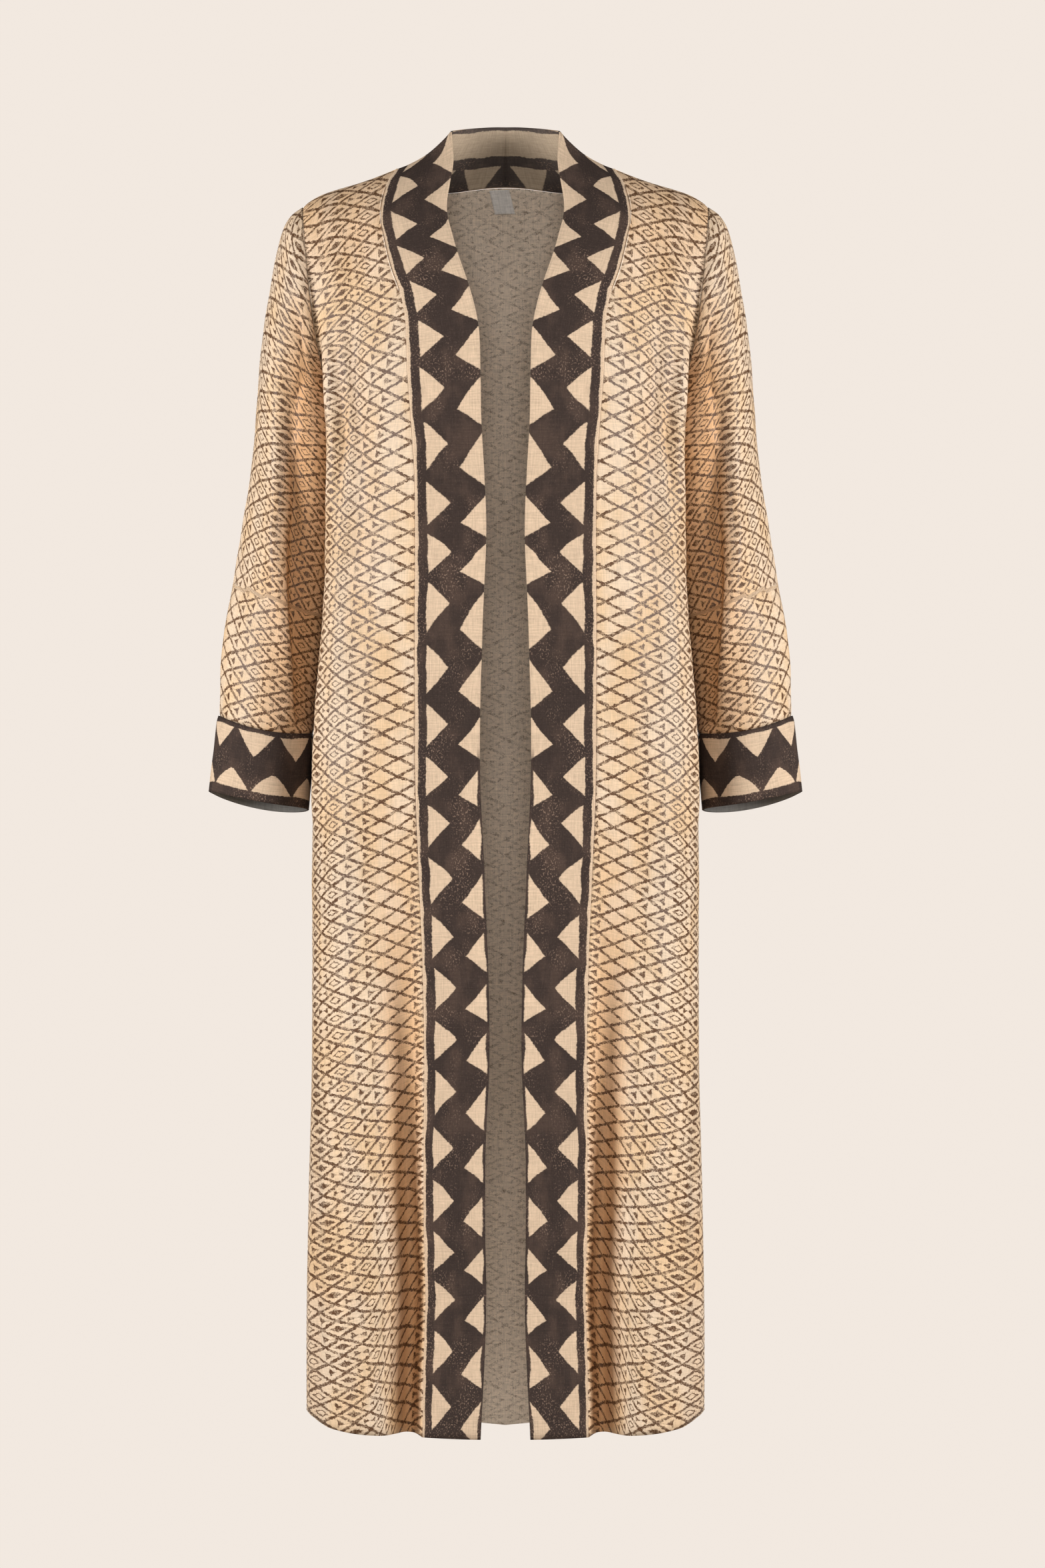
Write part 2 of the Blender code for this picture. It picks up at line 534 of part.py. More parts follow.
def wall(name, outside, inside, material, closed=False):
    """A closed wall of cloth: a grid laid on its outside points and extruded to its inside points."""
    if closed:
        outside = np.concatenate([outside, outside[:, :1]], axis=1)
        inside = np.concatenate([inside, inside[:, :1]], axis=1)
    rows, columns = outside.shape[:2]
    sheet = bmesh.new()
    bmesh.ops.create_grid(sheet, x_segments=columns - 1, y_segments=rows - 1, size=1.0)
    place = sheet.verts.layers.int.new("place")
    for vert in sheet.verts:
        column = round((vert.co.x + 1) / 2 * (columns - 1))
        row = round((1 - vert.co.y) / 2 * (rows - 1))
        vert[place] = row * columns + column
        vert.co = outside[row, column]
    bmesh.ops.remove_doubles(sheet, verts=sheet.verts, dist=1e-6)
    raised = bmesh.ops.extrude_face_region(sheet, geom=sheet.faces[:], use_keep_orig=True)
    flat_inside = inside.reshape(-1, 3)
    for part in raised["geom"]:
        if isinstance(part, bmesh.types.BMVert):
            part.co = flat_inside[part[place]]
    bmesh.ops.recalc_face_normals(sheet, faces=sheet.faces)
    mesh = bpy.data.meshes.new(name)
    sheet.to_mesh(mesh)
    sheet.free()
    mesh.materials.append(material)
    bpy.context.scene.collection.objects.link(bpy.data.objects.new(name, mesh))


for old in list(bpy.data.objects):
    bpy.data.objects.remove(old, do_unlink=True)

printed = cloth("printed_cloth", PRINT_COLOUR)
border = cloth("border_cloth", BORDER_COLOUR)
woven = cloth("label_cloth", LABEL_COLOUR)

wall("back_panel", back, back_inside, printed)
for hand, mirror in (("left", np.ones(3)), ("right", flip)):
    wall("front_" + hand, front * mirror, (front - front_out * CLOTH) * mirror, printed)
    wall("band_" + hand, band * mirror, (band - band_out * DOUBLE_CLOTH) * mirror, border)
    wall("sleeve_" + hand, sleeve * mirror, (sleeve - sleeve_out * CLOTH) * mirror, printed, closed=True)
    wall("cuff_" + hand, cuff * mirror, (cuff - cuff_out * DOUBLE_CLOTH) * mirror, border, closed=True)
wall("neck_label", label, label - label_out * LABEL_CLOTH, woven)
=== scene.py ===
import math
from functools import partialmethod

import bmesh
import bpy
import numpy as np
from mathutils import Matrix, Vector


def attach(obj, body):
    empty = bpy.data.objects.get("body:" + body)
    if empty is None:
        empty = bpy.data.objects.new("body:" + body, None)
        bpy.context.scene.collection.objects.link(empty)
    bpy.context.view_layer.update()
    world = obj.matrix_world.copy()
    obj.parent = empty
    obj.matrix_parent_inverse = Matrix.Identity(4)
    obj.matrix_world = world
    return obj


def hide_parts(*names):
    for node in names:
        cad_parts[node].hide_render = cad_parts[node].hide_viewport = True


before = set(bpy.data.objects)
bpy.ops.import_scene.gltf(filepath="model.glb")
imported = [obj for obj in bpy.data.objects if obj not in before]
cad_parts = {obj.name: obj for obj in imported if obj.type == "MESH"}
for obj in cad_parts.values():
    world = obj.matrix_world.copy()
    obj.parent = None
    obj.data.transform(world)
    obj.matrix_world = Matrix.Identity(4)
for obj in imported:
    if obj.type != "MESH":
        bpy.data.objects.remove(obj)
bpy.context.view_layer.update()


# Sleeves: slubby hand-woven cotton, block-printed in dark brown on a sand ground. Each is cut in one piece,
# sewn into a tube along the underarm and eased into the armhole. It hangs in soft folds inside the arm.
def table(columns, *rows):
    """A short table as one array of values for each named column."""
    return dict(zip(columns.split(), np.array(rows, float).T))


def in_mm(columns, *rows):
    """A table that is written in millimetres."""
    return {name: column / 1000 for name, column in table(columns, *rows).items()}


# Rings down the sleeve: its outer and inner line, each ring's reach to the front and back, and its lean
SLEEVE = table(
    "share out_x out_y out_z in_x in_y in_z front_y back_y lead tilt dip",
    (0, 0.1982, 0.008, -0.0368, 0.15, 0.004, -0.24, -0.05, 0.056, 0.35, 0, 0),
    (0.05, 0.208, 0.008, -0.045, 0.1508, 0.004, -0.2465, -0.054, 0.06, 0.48, 0, 0),
    (0.1, 0.2162, 0.008, -0.058, 0.1518, 0.004, -0.254, -0.057, 0.063, 0.62, 0, 0),
    (0.17, 0.2245, 0.008, -0.086, 0.1535, 0.004, -0.265, -0.0595, 0.065, 0.78, 0, 0),
    (0.25, 0.2318, 0.008, -0.125, 0.1555, 0.004, -0.281, -0.061, 0.066, 0.9, 0, 0),
    (0.35, 0.2385, 0.008, -0.175, 0.1582, 0.004, -0.305, -0.0615, 0.066, 0.97, 0, 0),
    (0.46, 0.2434, 0.008, -0.235, 0.1618, 0.004, -0.34, -0.061, 0.065, 1, 0, 0.001),
    (0.59, 0.2504, 0.006, -0.31, 0.1662, 0.003, -0.385, -0.06, 0.062, 1, 0, 0.002),
    (0.72, 0.2624, 0.003, -0.385, 0.1715, 0.001, -0.433, -0.06, 0.058, 1, 0, 0.004),
    (0.86, 0.2752, -0.002, -0.46, 0.1778, -0.002, -0.489, -0.06, 0.053, 1, 0, 0.005),
    (1, 0.2788, -0.006, -0.5335, 0.187, -0.006, -0.551, -0.06, 0.048, 1, 0, 0.006),
)
# Long folds by their angle from the outer line over the front, in degrees, and by their share of the way down
SLEEVE_FOLDS = table(
    "angle_top angle_end spread start full fade end rise",
    (36, 104, 18, 0.44, 0.66, 0.82, 0.96, 0.003),
    (232, 214, 18, 0.4, 0.62, 0.84, 0.98, -0.005),
    (282, 258, 22, 0.3, 0.52, 0.74, 0.94, 0.003),
)
# Short creases, from one place on the flat cloth to another
SLEEVE_CREASES = in_mm(
    "across along to_across to_along width rise",
    (104, 20, 90, 330, 26, -8.5),
    (112, 150, 70, 215, 8.5, -2.2),
    (118, 205, 66, 262, 8, 1.8),
    (20, 262, 88, 318, 10, -1.6),
    (105, 285, 52, 335, 9, 1.6),
    (10, 345, 74, 392, 9.5, -1.8),
    (92, 372, 40, 432, 8, 1.4),
    (30, 412, 82, 470, 7.5, -1.4),
    (60, 60, 98, 150, 11, -1.6),
    (-110, 160, -62, 232, 9.5, -2.2),
    (-104, 232, -46, 292, 10, 1.8),
    (-24, 296, -90, 350, 9, -1.8),
    (-98, 338, -36, 398, 8.5, 1.6),
    (-20, 392, -76, 446, 8, -1.6),
    (-62, 70, -100, 158, 11, -1.4),
)
# The deep valley inside the arm, by its line on the flat cloth
SLEEVE_VALLEY = in_mm(
    "along across depth",
    (120, 72, 0),
    (190, 78, 3),
    (219, 81.4, 6),
    (259, 87.2, 11),
    (320, 92.6, 17),
    (364, 100.4, 19),
    (398, 108.4, 19),
    (445, 119, 15),
    (498, 123, 7),
    (530, 123.5, 0),
)
VALLEY_OUTER = 0.0080
VALLEY_INNER = 0.0310
VALLEY_LIP = 0.0160
VALLEY_LIP_SHARE = 0.30
SLEEVE_AXIS = np.array([0.1445, 0.0, -0.9895])
AROUND = 132
SLEEVE_RINGS = 126
CLOTH = 0.0009
CREASE_BOW = 0.05
CREASE_TAPER = 1.5
BROAD_WAVES = 0.0007
CLOSE_WAVES = 0.0003
SEAM_DIP = 0.0008
SEAM_DIP_WIDTH = 0.0035
SEAM_FLAT = 0.02
CAP_DIP_SHARE = 0.3
ARMHOLE_EASE = 0.0045
ARMHOLE_EASE_WIDTH = 0.014
ARMHOLE_EASE_SHARE = 0.02
# Painted shade: the fold depth that gets full painted shade, where painted shade over the inner arm starts,
# and how strong it is there
FULL_SHADE_DEPTH = 0.032
INNER_SHADE_FROM = 0.055
INNER_ARM_SHADE = 0.58
# The print's place on the sleeve, in columns and half rows by the way down and the way round, for two blocks
COLUMN = 0.0170
ROW = 0.0168
SLEEVE_PRINT = table(
    "column_0 down_1 down_2 round_1 round_down row_0 row_down_1 row_down_2 row_round row_round_down",
    (5.97, -22.3, 7.4, 14.7, 210.3, -30.9, 127.4, -9.2, -55.6, 35.9),
    (-4.45, -1.5, 20.2, 124.6, -122.6, -53, 157, -59.2, -105.5, 161.2),
)
BLOCK_JOINT = 0.372
BLOCK_JOINT_SLANT = 0.15
PRINT_MIDDLE = 0.055
LEAST_PITCH = 62.0
CAP_DEPTH = 0.115
CAP_SLANT = 1.1
CAP_END = 0.26
CAP_BLEND = 0.16
BACK_SLANT = 24.0
ARCH = 0.040
ARM_RING = 52


def smooth(at, knots, values):
    """Values of a smooth curve through a table's column."""
    order = np.argsort(knots)
    knots = knots[order]
    values = values[order]
    slope = np.gradient(values, knots)
    left = np.clip(np.searchsorted(knots, at) - 1, 0, len(knots) - 2)
    length = knots[left + 1] - knots[left]
    t = (at - knots[left]) / length
    rise = values[left + 1] - values[left]
    bend_in = slope[left] * length - rise
    bend_out = rise - slope[left + 1] * length
    return values[left] + rise * t + t * (1 - t) * (bend_in * (1 - t) + bend_out * t)


def curves(columns, knots, at):
    """Smooth curves through all of a table's columns, read at places along one of them."""
    return {name: smooth(at, columns[knots], column) for name, column in columns.items()}


def ease(share):
    """A soft step from 0 to 1."""
    share = np.clip(share, 0.0, 1.0)
    return share * share * (3 - 2 * share)


def between(first, last, share):
    """A value part of the way from a first to a last."""
    return first + (last - first) * share


def joined(*parts):
    """Values side by side, as points or as places on a chart."""
    return np.stack(parts, axis=-1)


def hump(offset):
    """A soft hump, 1 at its middle."""
    return np.exp(-offset ** 2)


def unit(vectors):
    """Vectors brought to length 1."""
    return vectors / np.linalg.norm(vectors, axis=-1, keepdims=True)


def from_first(grid):
    """Distance of each point of a grid from the first row's point in its column."""
    return np.linalg.norm(grid - grid[:1], axis=-1)


def facing(grid, side, closed=False):
    """Directions square to a grid of points, on the side given by a sign."""
    down = np.gradient(grid, axis=0)
    if closed:
        across = np.roll(grid, -1, axis=1) - np.roll(grid, 1, axis=1)
    else:
        across = np.gradient(grid, axis=1)
    return side * unit(np.cross(down, across))


def raised(grid, rise, side, closed=False):
    """A grid lifted square to itself, and the directions square to it afterwards."""
    lifted = grid + facing(grid, side, closed) * rise[..., None]
    return lifted, facing(lifted, side, closed)


def rows_of(folds):
    """A table's rows, one at a time, by the names of its columns."""
    for values in zip(*folds.values()):
        yield dict(zip(folds, values))


def grown(at, fold):
    """How far a long fold has grown: from its start to its full height, then from its fade to its end."""
    begun = ease((at - fold["start"]) / (fold["full"] - fold["start"]))
    return begun * (1 - ease((at - fold["fade"]) / (fold["end"] - fold["fade"])))


def creased(across, along, marks):
    """How far short creases lift the cloth: soft troughs and ridges that die out at both ends."""
    rise = np.zeros(across.shape)
    for mark in rows_of(marks):
        run_across = mark["to_across"] - mark["across"]
        run_along = mark["to_along"] - mark["along"]
        length = np.hypot(run_across, run_along)
        off_across = across - mark["across"]
        off_along = along - mark["along"]
        share = np.clip((off_across * run_across + off_along * run_along) / length ** 2, 0, 1)
        beside = (off_across * run_along - off_along * run_across) / length
        bowed = beside + CREASE_BOW * length * share * (1 - share)
        rise += mark["rise"] * np.sin(math.pi * share) ** CREASE_TAPER * hump(bowed / mark["width"])
    return rise


def uneven(across, along):
    """The slight unevenness of limp cloth, from slow waves that never quite repeat."""
    broad = np.sin(58 * across + 13 * along + 0.7) * np.sin(29 * along - 37 * across + 2.1)
    close = np.sin(131 * across - 44 * along + 1.3) * np.sin(83 * along + 61 * across + 0.4)
    return BROAD_WAVES * broad + CLOSE_WAVES * close


def dipped(distance):
    """How far cloth dips where it is sewn, by its distance from the seam."""
    return -SEAM_DIP * hump(distance / SEAM_DIP_WIDTH)


def painted_fold_shade(rise):
    """How much painted shade a fold gets, from 0 on its ridge to 1 where it lies deep."""
    return np.clip(-rise / FULL_SHADE_DEPTH, 0, 1)


def rings(sections, shares, angles):
    """Rings of a sleeve: angle 0 on its outer line, then over the front, its inner line and the back."""
    at = curves(sections, "share", shares)
    outward = (1 + np.cos(angles)) / 2
    turn = np.sin(angles)
    middle = between(at["in_y"], at["out_y"], outward)
    ahead = (at["front_y"] - middle) * np.clip(turn, 0, 1)
    behind = (at["back_y"] - middle) * np.clip(-turn, 0, 1)
    x = between(at["in_x"], at["out_x"], outward ** at["lead"])
    level = between(at["in_z"], at["out_z"], outward)
    z = level - at["tilt"] * (ahead + behind) - at["dip"] * turn ** 2
    return joined(x, middle + ahead + behind, z)


def ring_reach(grid):
    """Distance round each ring from its outer line, over the front and over the back, square to the arm."""
    square = grid - (grid @ SLEEVE_AXIS)[..., None] * SLEEVE_AXIS
    steps = np.linalg.norm(np.roll(square, -1, axis=1) - square, axis=-1)
    over_front = np.cumsum(steps, axis=1) - steps
    in_front = np.arange(grid.shape[1]) <= grid.shape[1] // 2
    return np.where(in_front, over_front, steps.sum(axis=1, keepdims=True) - over_front), in_front


def arched(reach):
    """Distance from the outer line, taken up gradually so that rows of print arch over it."""
    return np.where(reach < ARCH, reach ** 2 / (2 * ARCH), reach - ARCH / 2)


def closed_round(values):
    """A grid of rings with its first column repeated at the end."""
    return np.concatenate([values, values[:, :1]], axis=1)


def made_of(name, shape, *finishes):
    """A shape made an object, with its materials."""
    mesh = bpy.data.meshes.new(name)
    shape.to_mesh(mesh)
    shape.free()
    for finish in finishes:
        mesh.materials.append(finish)
    piece = bpy.data.objects.new(name, mesh)
    bpy.context.scene.collection.objects.link(piece)
    return piece


def sheet_of_cloth(name, grid, outward, charts, thickness, finishes, closed=False):
    """A piece of cloth on a grid of points, with its charts as UV maps, its thickness and its two faces."""
    rows, columns = grid.shape[:2]
    cloth = bmesh.new()
    bmesh.ops.create_grid(cloth, x_segments=columns - 1, y_segments=rows - 1, size=1.0)
    spots = []
    for vert in cloth.verts:
        row = round((1 - vert.co.y) / 2 * (rows - 1))
        column = round((1 + vert.co.x) / 2 * (columns - 1))
        spots.append((row, column))
        vert.co = grid[row, column]
    for chart, values in charts.items():
        layer = cloth.loops.layers.uv.new(chart)
        for face in cloth.faces:
            for loop in face.loops:
                loop[layer].uv = values[spots[loop.vert.index]]
    cloth.normal_update()
    if sum(vert.normal.dot(outward[spot]) for vert, spot in zip(cloth.verts, spots)) < 0:
        bmesh.ops.reverse_faces(cloth, faces=cloth.faces)
    for face in cloth.faces:
        face.smooth = True
    if closed:
        bmesh.ops.remove_doubles(cloth, verts=cloth.verts, dist=1e-6)
    piece = made_of(name, cloth, *finishes)
    wall = piece.modifiers.new("thickness", "SOLIDIFY")
    wall.thickness = thickness
    wall.offset = -1.0
    wall.material_offset = 1
    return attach(piece, "root")


class Strand:
    """One value in a node tree; plain arithmetic on it adds the nodes that work it out."""

    def __init__(self, socket):
        self.socket = socket

    def node(self, kind):
        return self.socket.id_data.nodes.new("ShaderNode" + kind)

    def worked(self, operation, *others):
        node = self.node("Math")
        node.operation = operation
        for target, value in zip(node.inputs, (self, *others)):
            join(value, target)
        return Strand(node.outputs[0])

    def vector(self, operation, other):
        node = self.node("VectorMath")
        node.operation = operation
        join(self, node.inputs[0])
        join(other, node.inputs["Scale" if operation == "SCALE" else 1])
        return Strand(node.outputs["Vector"])

    __add__ = partialmethod(worked, "ADD")
    __sub__ = partialmethod(worked, "SUBTRACT")
    __mul__ = partialmethod(worked, "MULTIPLY")
    __mod__ = partialmethod(worked, "FLOORED_MODULO")
    __abs__ = partialmethod(worked, "ABSOLUTE")
    least = partialmethod(worked, "MINIMUM")
    most = partialmethod(worked, "MAXIMUM")

    def is_number(self, number):
        return self.worked("COMPARE", number, 0.1)

    def less_from(self, whole):
        """What is left of a whole without this value."""
        return (self * -1.0) + whole

    def over(self, edge, soft):
        """0 below an edge and 1 above it, with a soft change between."""
        node = self.node("MapRange")
        node.interpolation_type = "SMOOTHSTEP"
        feed(node, Value=self, From_Min=edge - soft, From_Max=edge + soft)
        return Strand(node.outputs["Result"])

    def under(self, edge, soft):
        """1 below an edge and 0 above it, with a soft change between."""
        return self.less_from(edge).over(0.0, soft)


def join(value, target):
    """A strand or a plain value led into a node's input."""
    if isinstance(value, Strand):
        target.id_data.links.new(value.socket, target)
    else:
        target.default_value = value


def feed(node, **inputs):
    """Strands or plain values led into a node's inputs, with underscores for the spaces in their names."""
    for name, value in inputs.items():
        join(value, node.inputs[name.replace("_", " ")])


def grain(place, across, along, detail=1.0, output="Fac"):
    """Uneven grain over the cloth, so many to a metre across and along."""
    node = place.node("TexNoise")
    node.noise_dimensions = "2D"
    feed(node, Scale=1.0, Detail=detail, Vector=place.vector("MULTIPLY", (across, along, 1.0)))
    return Strand(node.outputs[output])


def parts_of(place):
    """The two measures of a place on the cloth."""
    node = place.node("SeparateXYZ")
    join(place, node.inputs[0])
    return Strand(node.outputs["X"]), Strand(node.outputs["Y"])


def unsteady(place, cloth, close, reach, detail=1.0):
    """A place shifted as an unsteady hand would, so many times to a metre and so far each way."""
    shift = grain(cloth, close, close, detail, output="Color").vector("SUBTRACT", (0.5, 0.5, 0.5))
    return place.vector("ADD", shift.vector("MULTIPLY", (*reach, 0.0)))


def mixed(share, first, second):
    """A colour between two colours."""
    node = share.node("Mix")
    node.data_type = "RGBA"
    feed(node, Factor=share)
    ends = [socket for socket in node.inputs if socket.type == "RGBA"]
    for colour, end in zip((first, second), ends):
        join(colour, end)
    return Strand(next(socket for socket in node.outputs if socket.type == "RGBA"))


def open_group(name, inputs, outputs):
    """A new node group: its inputs, of which places on the cloth are vectors, and its output node."""
    tree = bpy.data.node_groups.new(name, "ShaderNodeTree")
    for names, way in ((inputs, "INPUT"), (outputs, "OUTPUT")):
        for socket in names.split():
            kind = "NodeSocketVector" if socket in ("Cloth", "Repeat") else "NodeSocketFloat"
            tree.interface.new_socket(name=socket, in_out=way, socket_type=kind)
    entry = tree.nodes.new("NodeGroupInput")
    given = [Strand(entry.outputs[socket]) for socket in inputs.split()]
    return *given, tree.nodes.new("NodeGroupOutput")


def placed(name, **given):
    """A node group placed in a material, with its inputs led in; its outputs by name."""
    node = given["Cloth"].node("Group")
    node.node_tree = bpy.data.node_groups[name]
    feed(node, **given)
    return {socket.name: Strand(socket) for socket in node.outputs}


# Uneven yarn, thick and thin both ways
cloth, out = open_group("slub_weave", "Cloth", "Shade Height")
yarn = grain(cloth, 780.0, 62.0) + grain(cloth, 56.0, 720.0)
fuzz = grain(cloth, 520.0, 520.0, detail=2.0)
cloudy = grain(cloth, 9.0, 7.0, detail=2.0)
feed(out, Shade=yarn * 0.36 + fuzz * 0.18 + cloudy * 0.14 + 0.48, Height=yarn * 0.5 + fuzz * 0.4)

# Ink worn off the raised yarn, with gaps where the block pressed lightly
mask, cloth, cover, out = open_group("worn_ink", "Mask Cloth Cover", "Ink")
speckle = grain(cloth, 760.0, 760.0, detail=2.0)
pressed = grain(cloth, 165.0, 165.0, detail=2.0)
feed(out, Ink=mask * (speckle * 1.9 + pressed * 1.7 + cover - 1.85).least(1.0).most(0.0))

# The carved block: wide diamonds in columns of small motifs, drawn by a slightly unsteady hand. The first
# columns hold a triangle or nothing; from the third on, four motifs take turns.
LINE_AT = 0.438
LINE_SOFT = 0.020
LINE_UNEVEN = 0.050
MOTIF_SOFT = 0.03
TRIANGLE_TIP = 0.46
TRIANGLE_FOOT = 0.06
RING_AT = 0.37
RING_HALF = 0.085
WING_SLOPE = 0.80
WING_REACH = 0.42
FIRST_IN_TURN = 3.0
MOTIFS = 4.0
cloth, out = open_group("block_print", "Cloth", "Mask")
place = unsteady(cloth, cloth, close=36.0, reach=(0.0034, 0.0034))
across, along = parts_of(unsteady(place, cloth, close=430.0, reach=(0.0026, 0.0026)))
sideways = across * (1.0 / COLUMN)
fall = along * (2.0 / ROW)
lean_down = (sideways + fall) * 0.5
lean_up = (fall - sideways) * 0.5
cell_down = lean_down.worked("ROUND")
cell_up = lean_up.worked("ROUND")
off_down = lean_down - cell_down
off_up = lean_up - cell_up
rim = abs(off_down).most(abs(off_up))
line = (rim + grain(cloth, 120.0, 120.0) * LINE_UNEVEN).over(LINE_AT, LINE_SOFT)
off_side = off_down - off_up
off_fall = abs(off_down + off_up)
taper = ((off_side + TRIANGLE_TIP) * 2.0).most(0.0)
triangle = (taper * taper * 0.36 + taper * 0.12 - off_fall).over(0.0, 0.07)
triangle = triangle * off_side.under(TRIANGLE_FOOT, MOTIF_SOFT)
ring = abs(rim * 2.0 - RING_AT).under(RING_HALF, MOTIF_SOFT)
wings = (abs(off_side) * WING_SLOPE - off_fall).over(0.02, 0.05)
wings = wings * abs(off_side).under(WING_REACH, MOTIF_SOFT)
lozenge = (abs(off_side) * 2.0 + off_fall * 2.6).under(1.0, 0.14)
column = cell_down - cell_up
counted = column.most(column.less_from(-1.0))
in_turn = (counted - FIRST_IN_TURN) % MOTIFS
from_third = counted.over(FIRST_IN_TURN - 0.5, 0.1)
motif = triangle * (counted.is_number(2.0) + column.is_number(-1.0))
for turn, drawn in enumerate((triangle, ring, wings, lozenge)):
    motif = motif + drawn * from_third * in_turn.is_number(float(turn))
feed(out, Mask=line.most(motif))


def new_finish(name, roughness=0.5, specular=0.5):
    """A material and its Principled shader."""
    finish = bpy.data.materials.new(name)
    finish.use_nodes = True
    shader = finish.node_tree.nodes["Principled BSDF"]
    feed(shader, Roughness=roughness, Specular_IOR_Level=specular)
    return finish, shader


def chart_of(shader, name="cloth"):
    """One of the piece's own charts; "cloth" is in metres of cloth."""
    node = shader.id_data.nodes.new("ShaderNodeUVMap")
    node.uv_map = name
    return Strand(node.outputs["UV"])


RELIEF = 0.35


def woven(shader, chart, colour, depth):
    """Yarn shade and relief put on a cloth's colour."""
    weave = placed("slub_weave", Cloth=chart)
    relief = colour.node("Bump")
    feed(relief, Strength=RELIEF, Distance=depth, Height=weave["Height"])
    feed(shader, Base_Color=colour.vector("SCALE", weave["Shade"]), Normal=Strand(relief.outputs["Normal"]))


def inked(chart, cover, ground, ink_colour):
    """A ground printed with the carved block, and where its ink lies."""
    motifs = placed("block_print", Cloth=chart)["Mask"]
    ink = placed("worn_ink", Mask=motifs, Cloth=chart, Cover=cover)["Ink"]
    return mixed(ink, ground, ink_colour), ink


SAND_LIGHT = (0.666, 0.512, 0.366, 1.0)
SAND_WARM = (0.646, 0.446, 0.264, 1.0)
# Painted shade: a warm darker sand laid into the colour in deep folds, inside the arm and on the shoulders,
# standing in for light bounced from cloth to cloth
SAND_PAINTED_SHADE = (0.640, 0.345, 0.158, 1.0)
INK = (0.095, 0.042, 0.017, 1.0)
INK_COVER = 0.95
BARE_ROUGHNESS = 0.66
INK_SMOOTHER = 0.20
printed, shader = new_finish("printed_cotton", specular=0.24)
chart = chart_of(shader)
ground = mixed(grain(chart, 26.0, 12.0, detail=3.0).over(0.52, 0.22), SAND_LIGHT, SAND_WARM)
# The folds chart carries painted shade: first by how deep a fold lies, then over the inner arm and the
# shoulders
deep, arm_and_shoulder_shade = parts_of(chart_of(shader, "folds"))
colour, ink = inked(chart, INK_COVER, mixed(deep + arm_and_shoulder_shade, ground, SAND_PAINTED_SHADE), INK)
woven(shader, chart, colour, depth=0.0004)
feed(shader, Roughness=ink * -INK_SMOOTHER + BARE_ROUGHNESS)

REVERSE_GROUND = (0.800, 0.675, 0.545, 1.0)
REVERSE_INK = (0.330, 0.255, 0.190, 1.0)
REVERSE_COVER = 0.32
reverse, shader = new_finish("printed_cotton_reverse", roughness=0.9, specular=0.15)
chart = chart_of(shader)
woven(shader, chart, inked(chart, REVERSE_COVER, REVERSE_GROUND, REVERSE_INK)[0], depth=0.0003)

sleeve_angles = np.linspace(0, 2 * math.pi, AROUND, endpoint=False)
sleeve_share = np.linspace(0, 1, SLEEVE_RINGS + 1)[:, None]
sleeve = rings(SLEEVE, sleeve_share, sleeve_angles)
armhole = sleeve[0].copy()
sleeve_reach, in_front = ring_reach(sleeve)
sleeve_across = np.where(in_front, sleeve_reach, -sleeve_reach)
sleeve_along = sleeve @ SLEEVE_AXIS - sleeve[0, 0] @ SLEEVE_AXIS
rise = creased(sleeve_across, sleeve_along, SLEEVE_CREASES) + uneven(sleeve_across, sleeve_along)
for fold in rows_of(SLEEVE_FOLDS):
    middle = np.radians(between(fold["angle_top"], fold["angle_end"], sleeve_share))
    near = hump((sleeve_angles - middle) / np.radians(fold["spread"]))
    rise += fold["rise"] * grown(sleeve_share, fold) * near
valley_across = np.interp(sleeve_along, SLEEVE_VALLEY["along"], SLEEVE_VALLEY["across"])
valley_depth = np.interp(sleeve_along, SLEEVE_VALLEY["along"], SLEEVE_VALLEY["depth"])
beside = sleeve_across - valley_across
rise -= valley_depth * hump(beside / np.where(beside < 0, VALLEY_OUTER, VALLEY_INNER))
rise += VALLEY_LIP_SHARE * valley_depth * hump((beside + VALLEY_LIP) / VALLEY_OUTER)
from_armhole = from_first(sleeve)
from_cuff = np.linalg.norm(sleeve - sleeve[-1:], axis=-1)
rise = rise * ease(from_armhole / SEAM_FLAT) * ease(from_cuff / SEAM_FLAT)
rise += CAP_DIP_SHARE * dipped(from_armhole) + dipped(from_cuff)
over_front = np.clip(np.sin(sleeve_angles), 0, 1) ** 2 * ease(sleeve_share / ARMHOLE_EASE_SHARE)
rise += ARMHOLE_EASE * over_front * hump((from_armhole - ARMHOLE_EASE_WIDTH) / ARMHOLE_EASE_WIDTH)
# Painted shade on the sleeve: darker in deep folds and over the inner part of the arm
arm_inside_shade = INNER_ARM_SHADE * ease((np.abs(sleeve_across) - INNER_SHADE_FROM) / INNER_SHADE_FROM)
sleeve_painted_shade = joined(painted_fold_shade(rise), arm_inside_shade)
sleeve, sleeve_out = raised(sleeve, rise, -1, closed=True)

square_in = np.array([-SLEEVE_AXIS[2], 0.0, SLEEVE_AXIS[0]])
arm_middle = (sleeve[ARM_RING, 0] + sleeve[ARM_RING, AROUND // 2]) @ square_in / 2
turned = np.arctan2(-sleeve[..., 1], sleeve @ square_in - arm_middle)
turned = np.where(in_front & (turned < -math.pi / 2), turned + 2 * math.pi, turned)
turned = np.where(~in_front & (turned > math.pi / 2), turned - 2 * math.pi, turned)
back_first = np.argsort(sleeve_across[ARM_RING])
by_angle = np.interp(turned, turned[ARM_RING, back_first], sleeve_across[ARM_RING, back_first])
capped = ease((CAP_END - sleeve_along) / CAP_BLEND)
print_reach = between(sleeve_across, by_angle, capped)
ahead = np.maximum(print_reach, 0)
behind = np.maximum(-print_reach, 0)
down = np.maximum(sleeve_along, CAP_DEPTH)
blocks = []
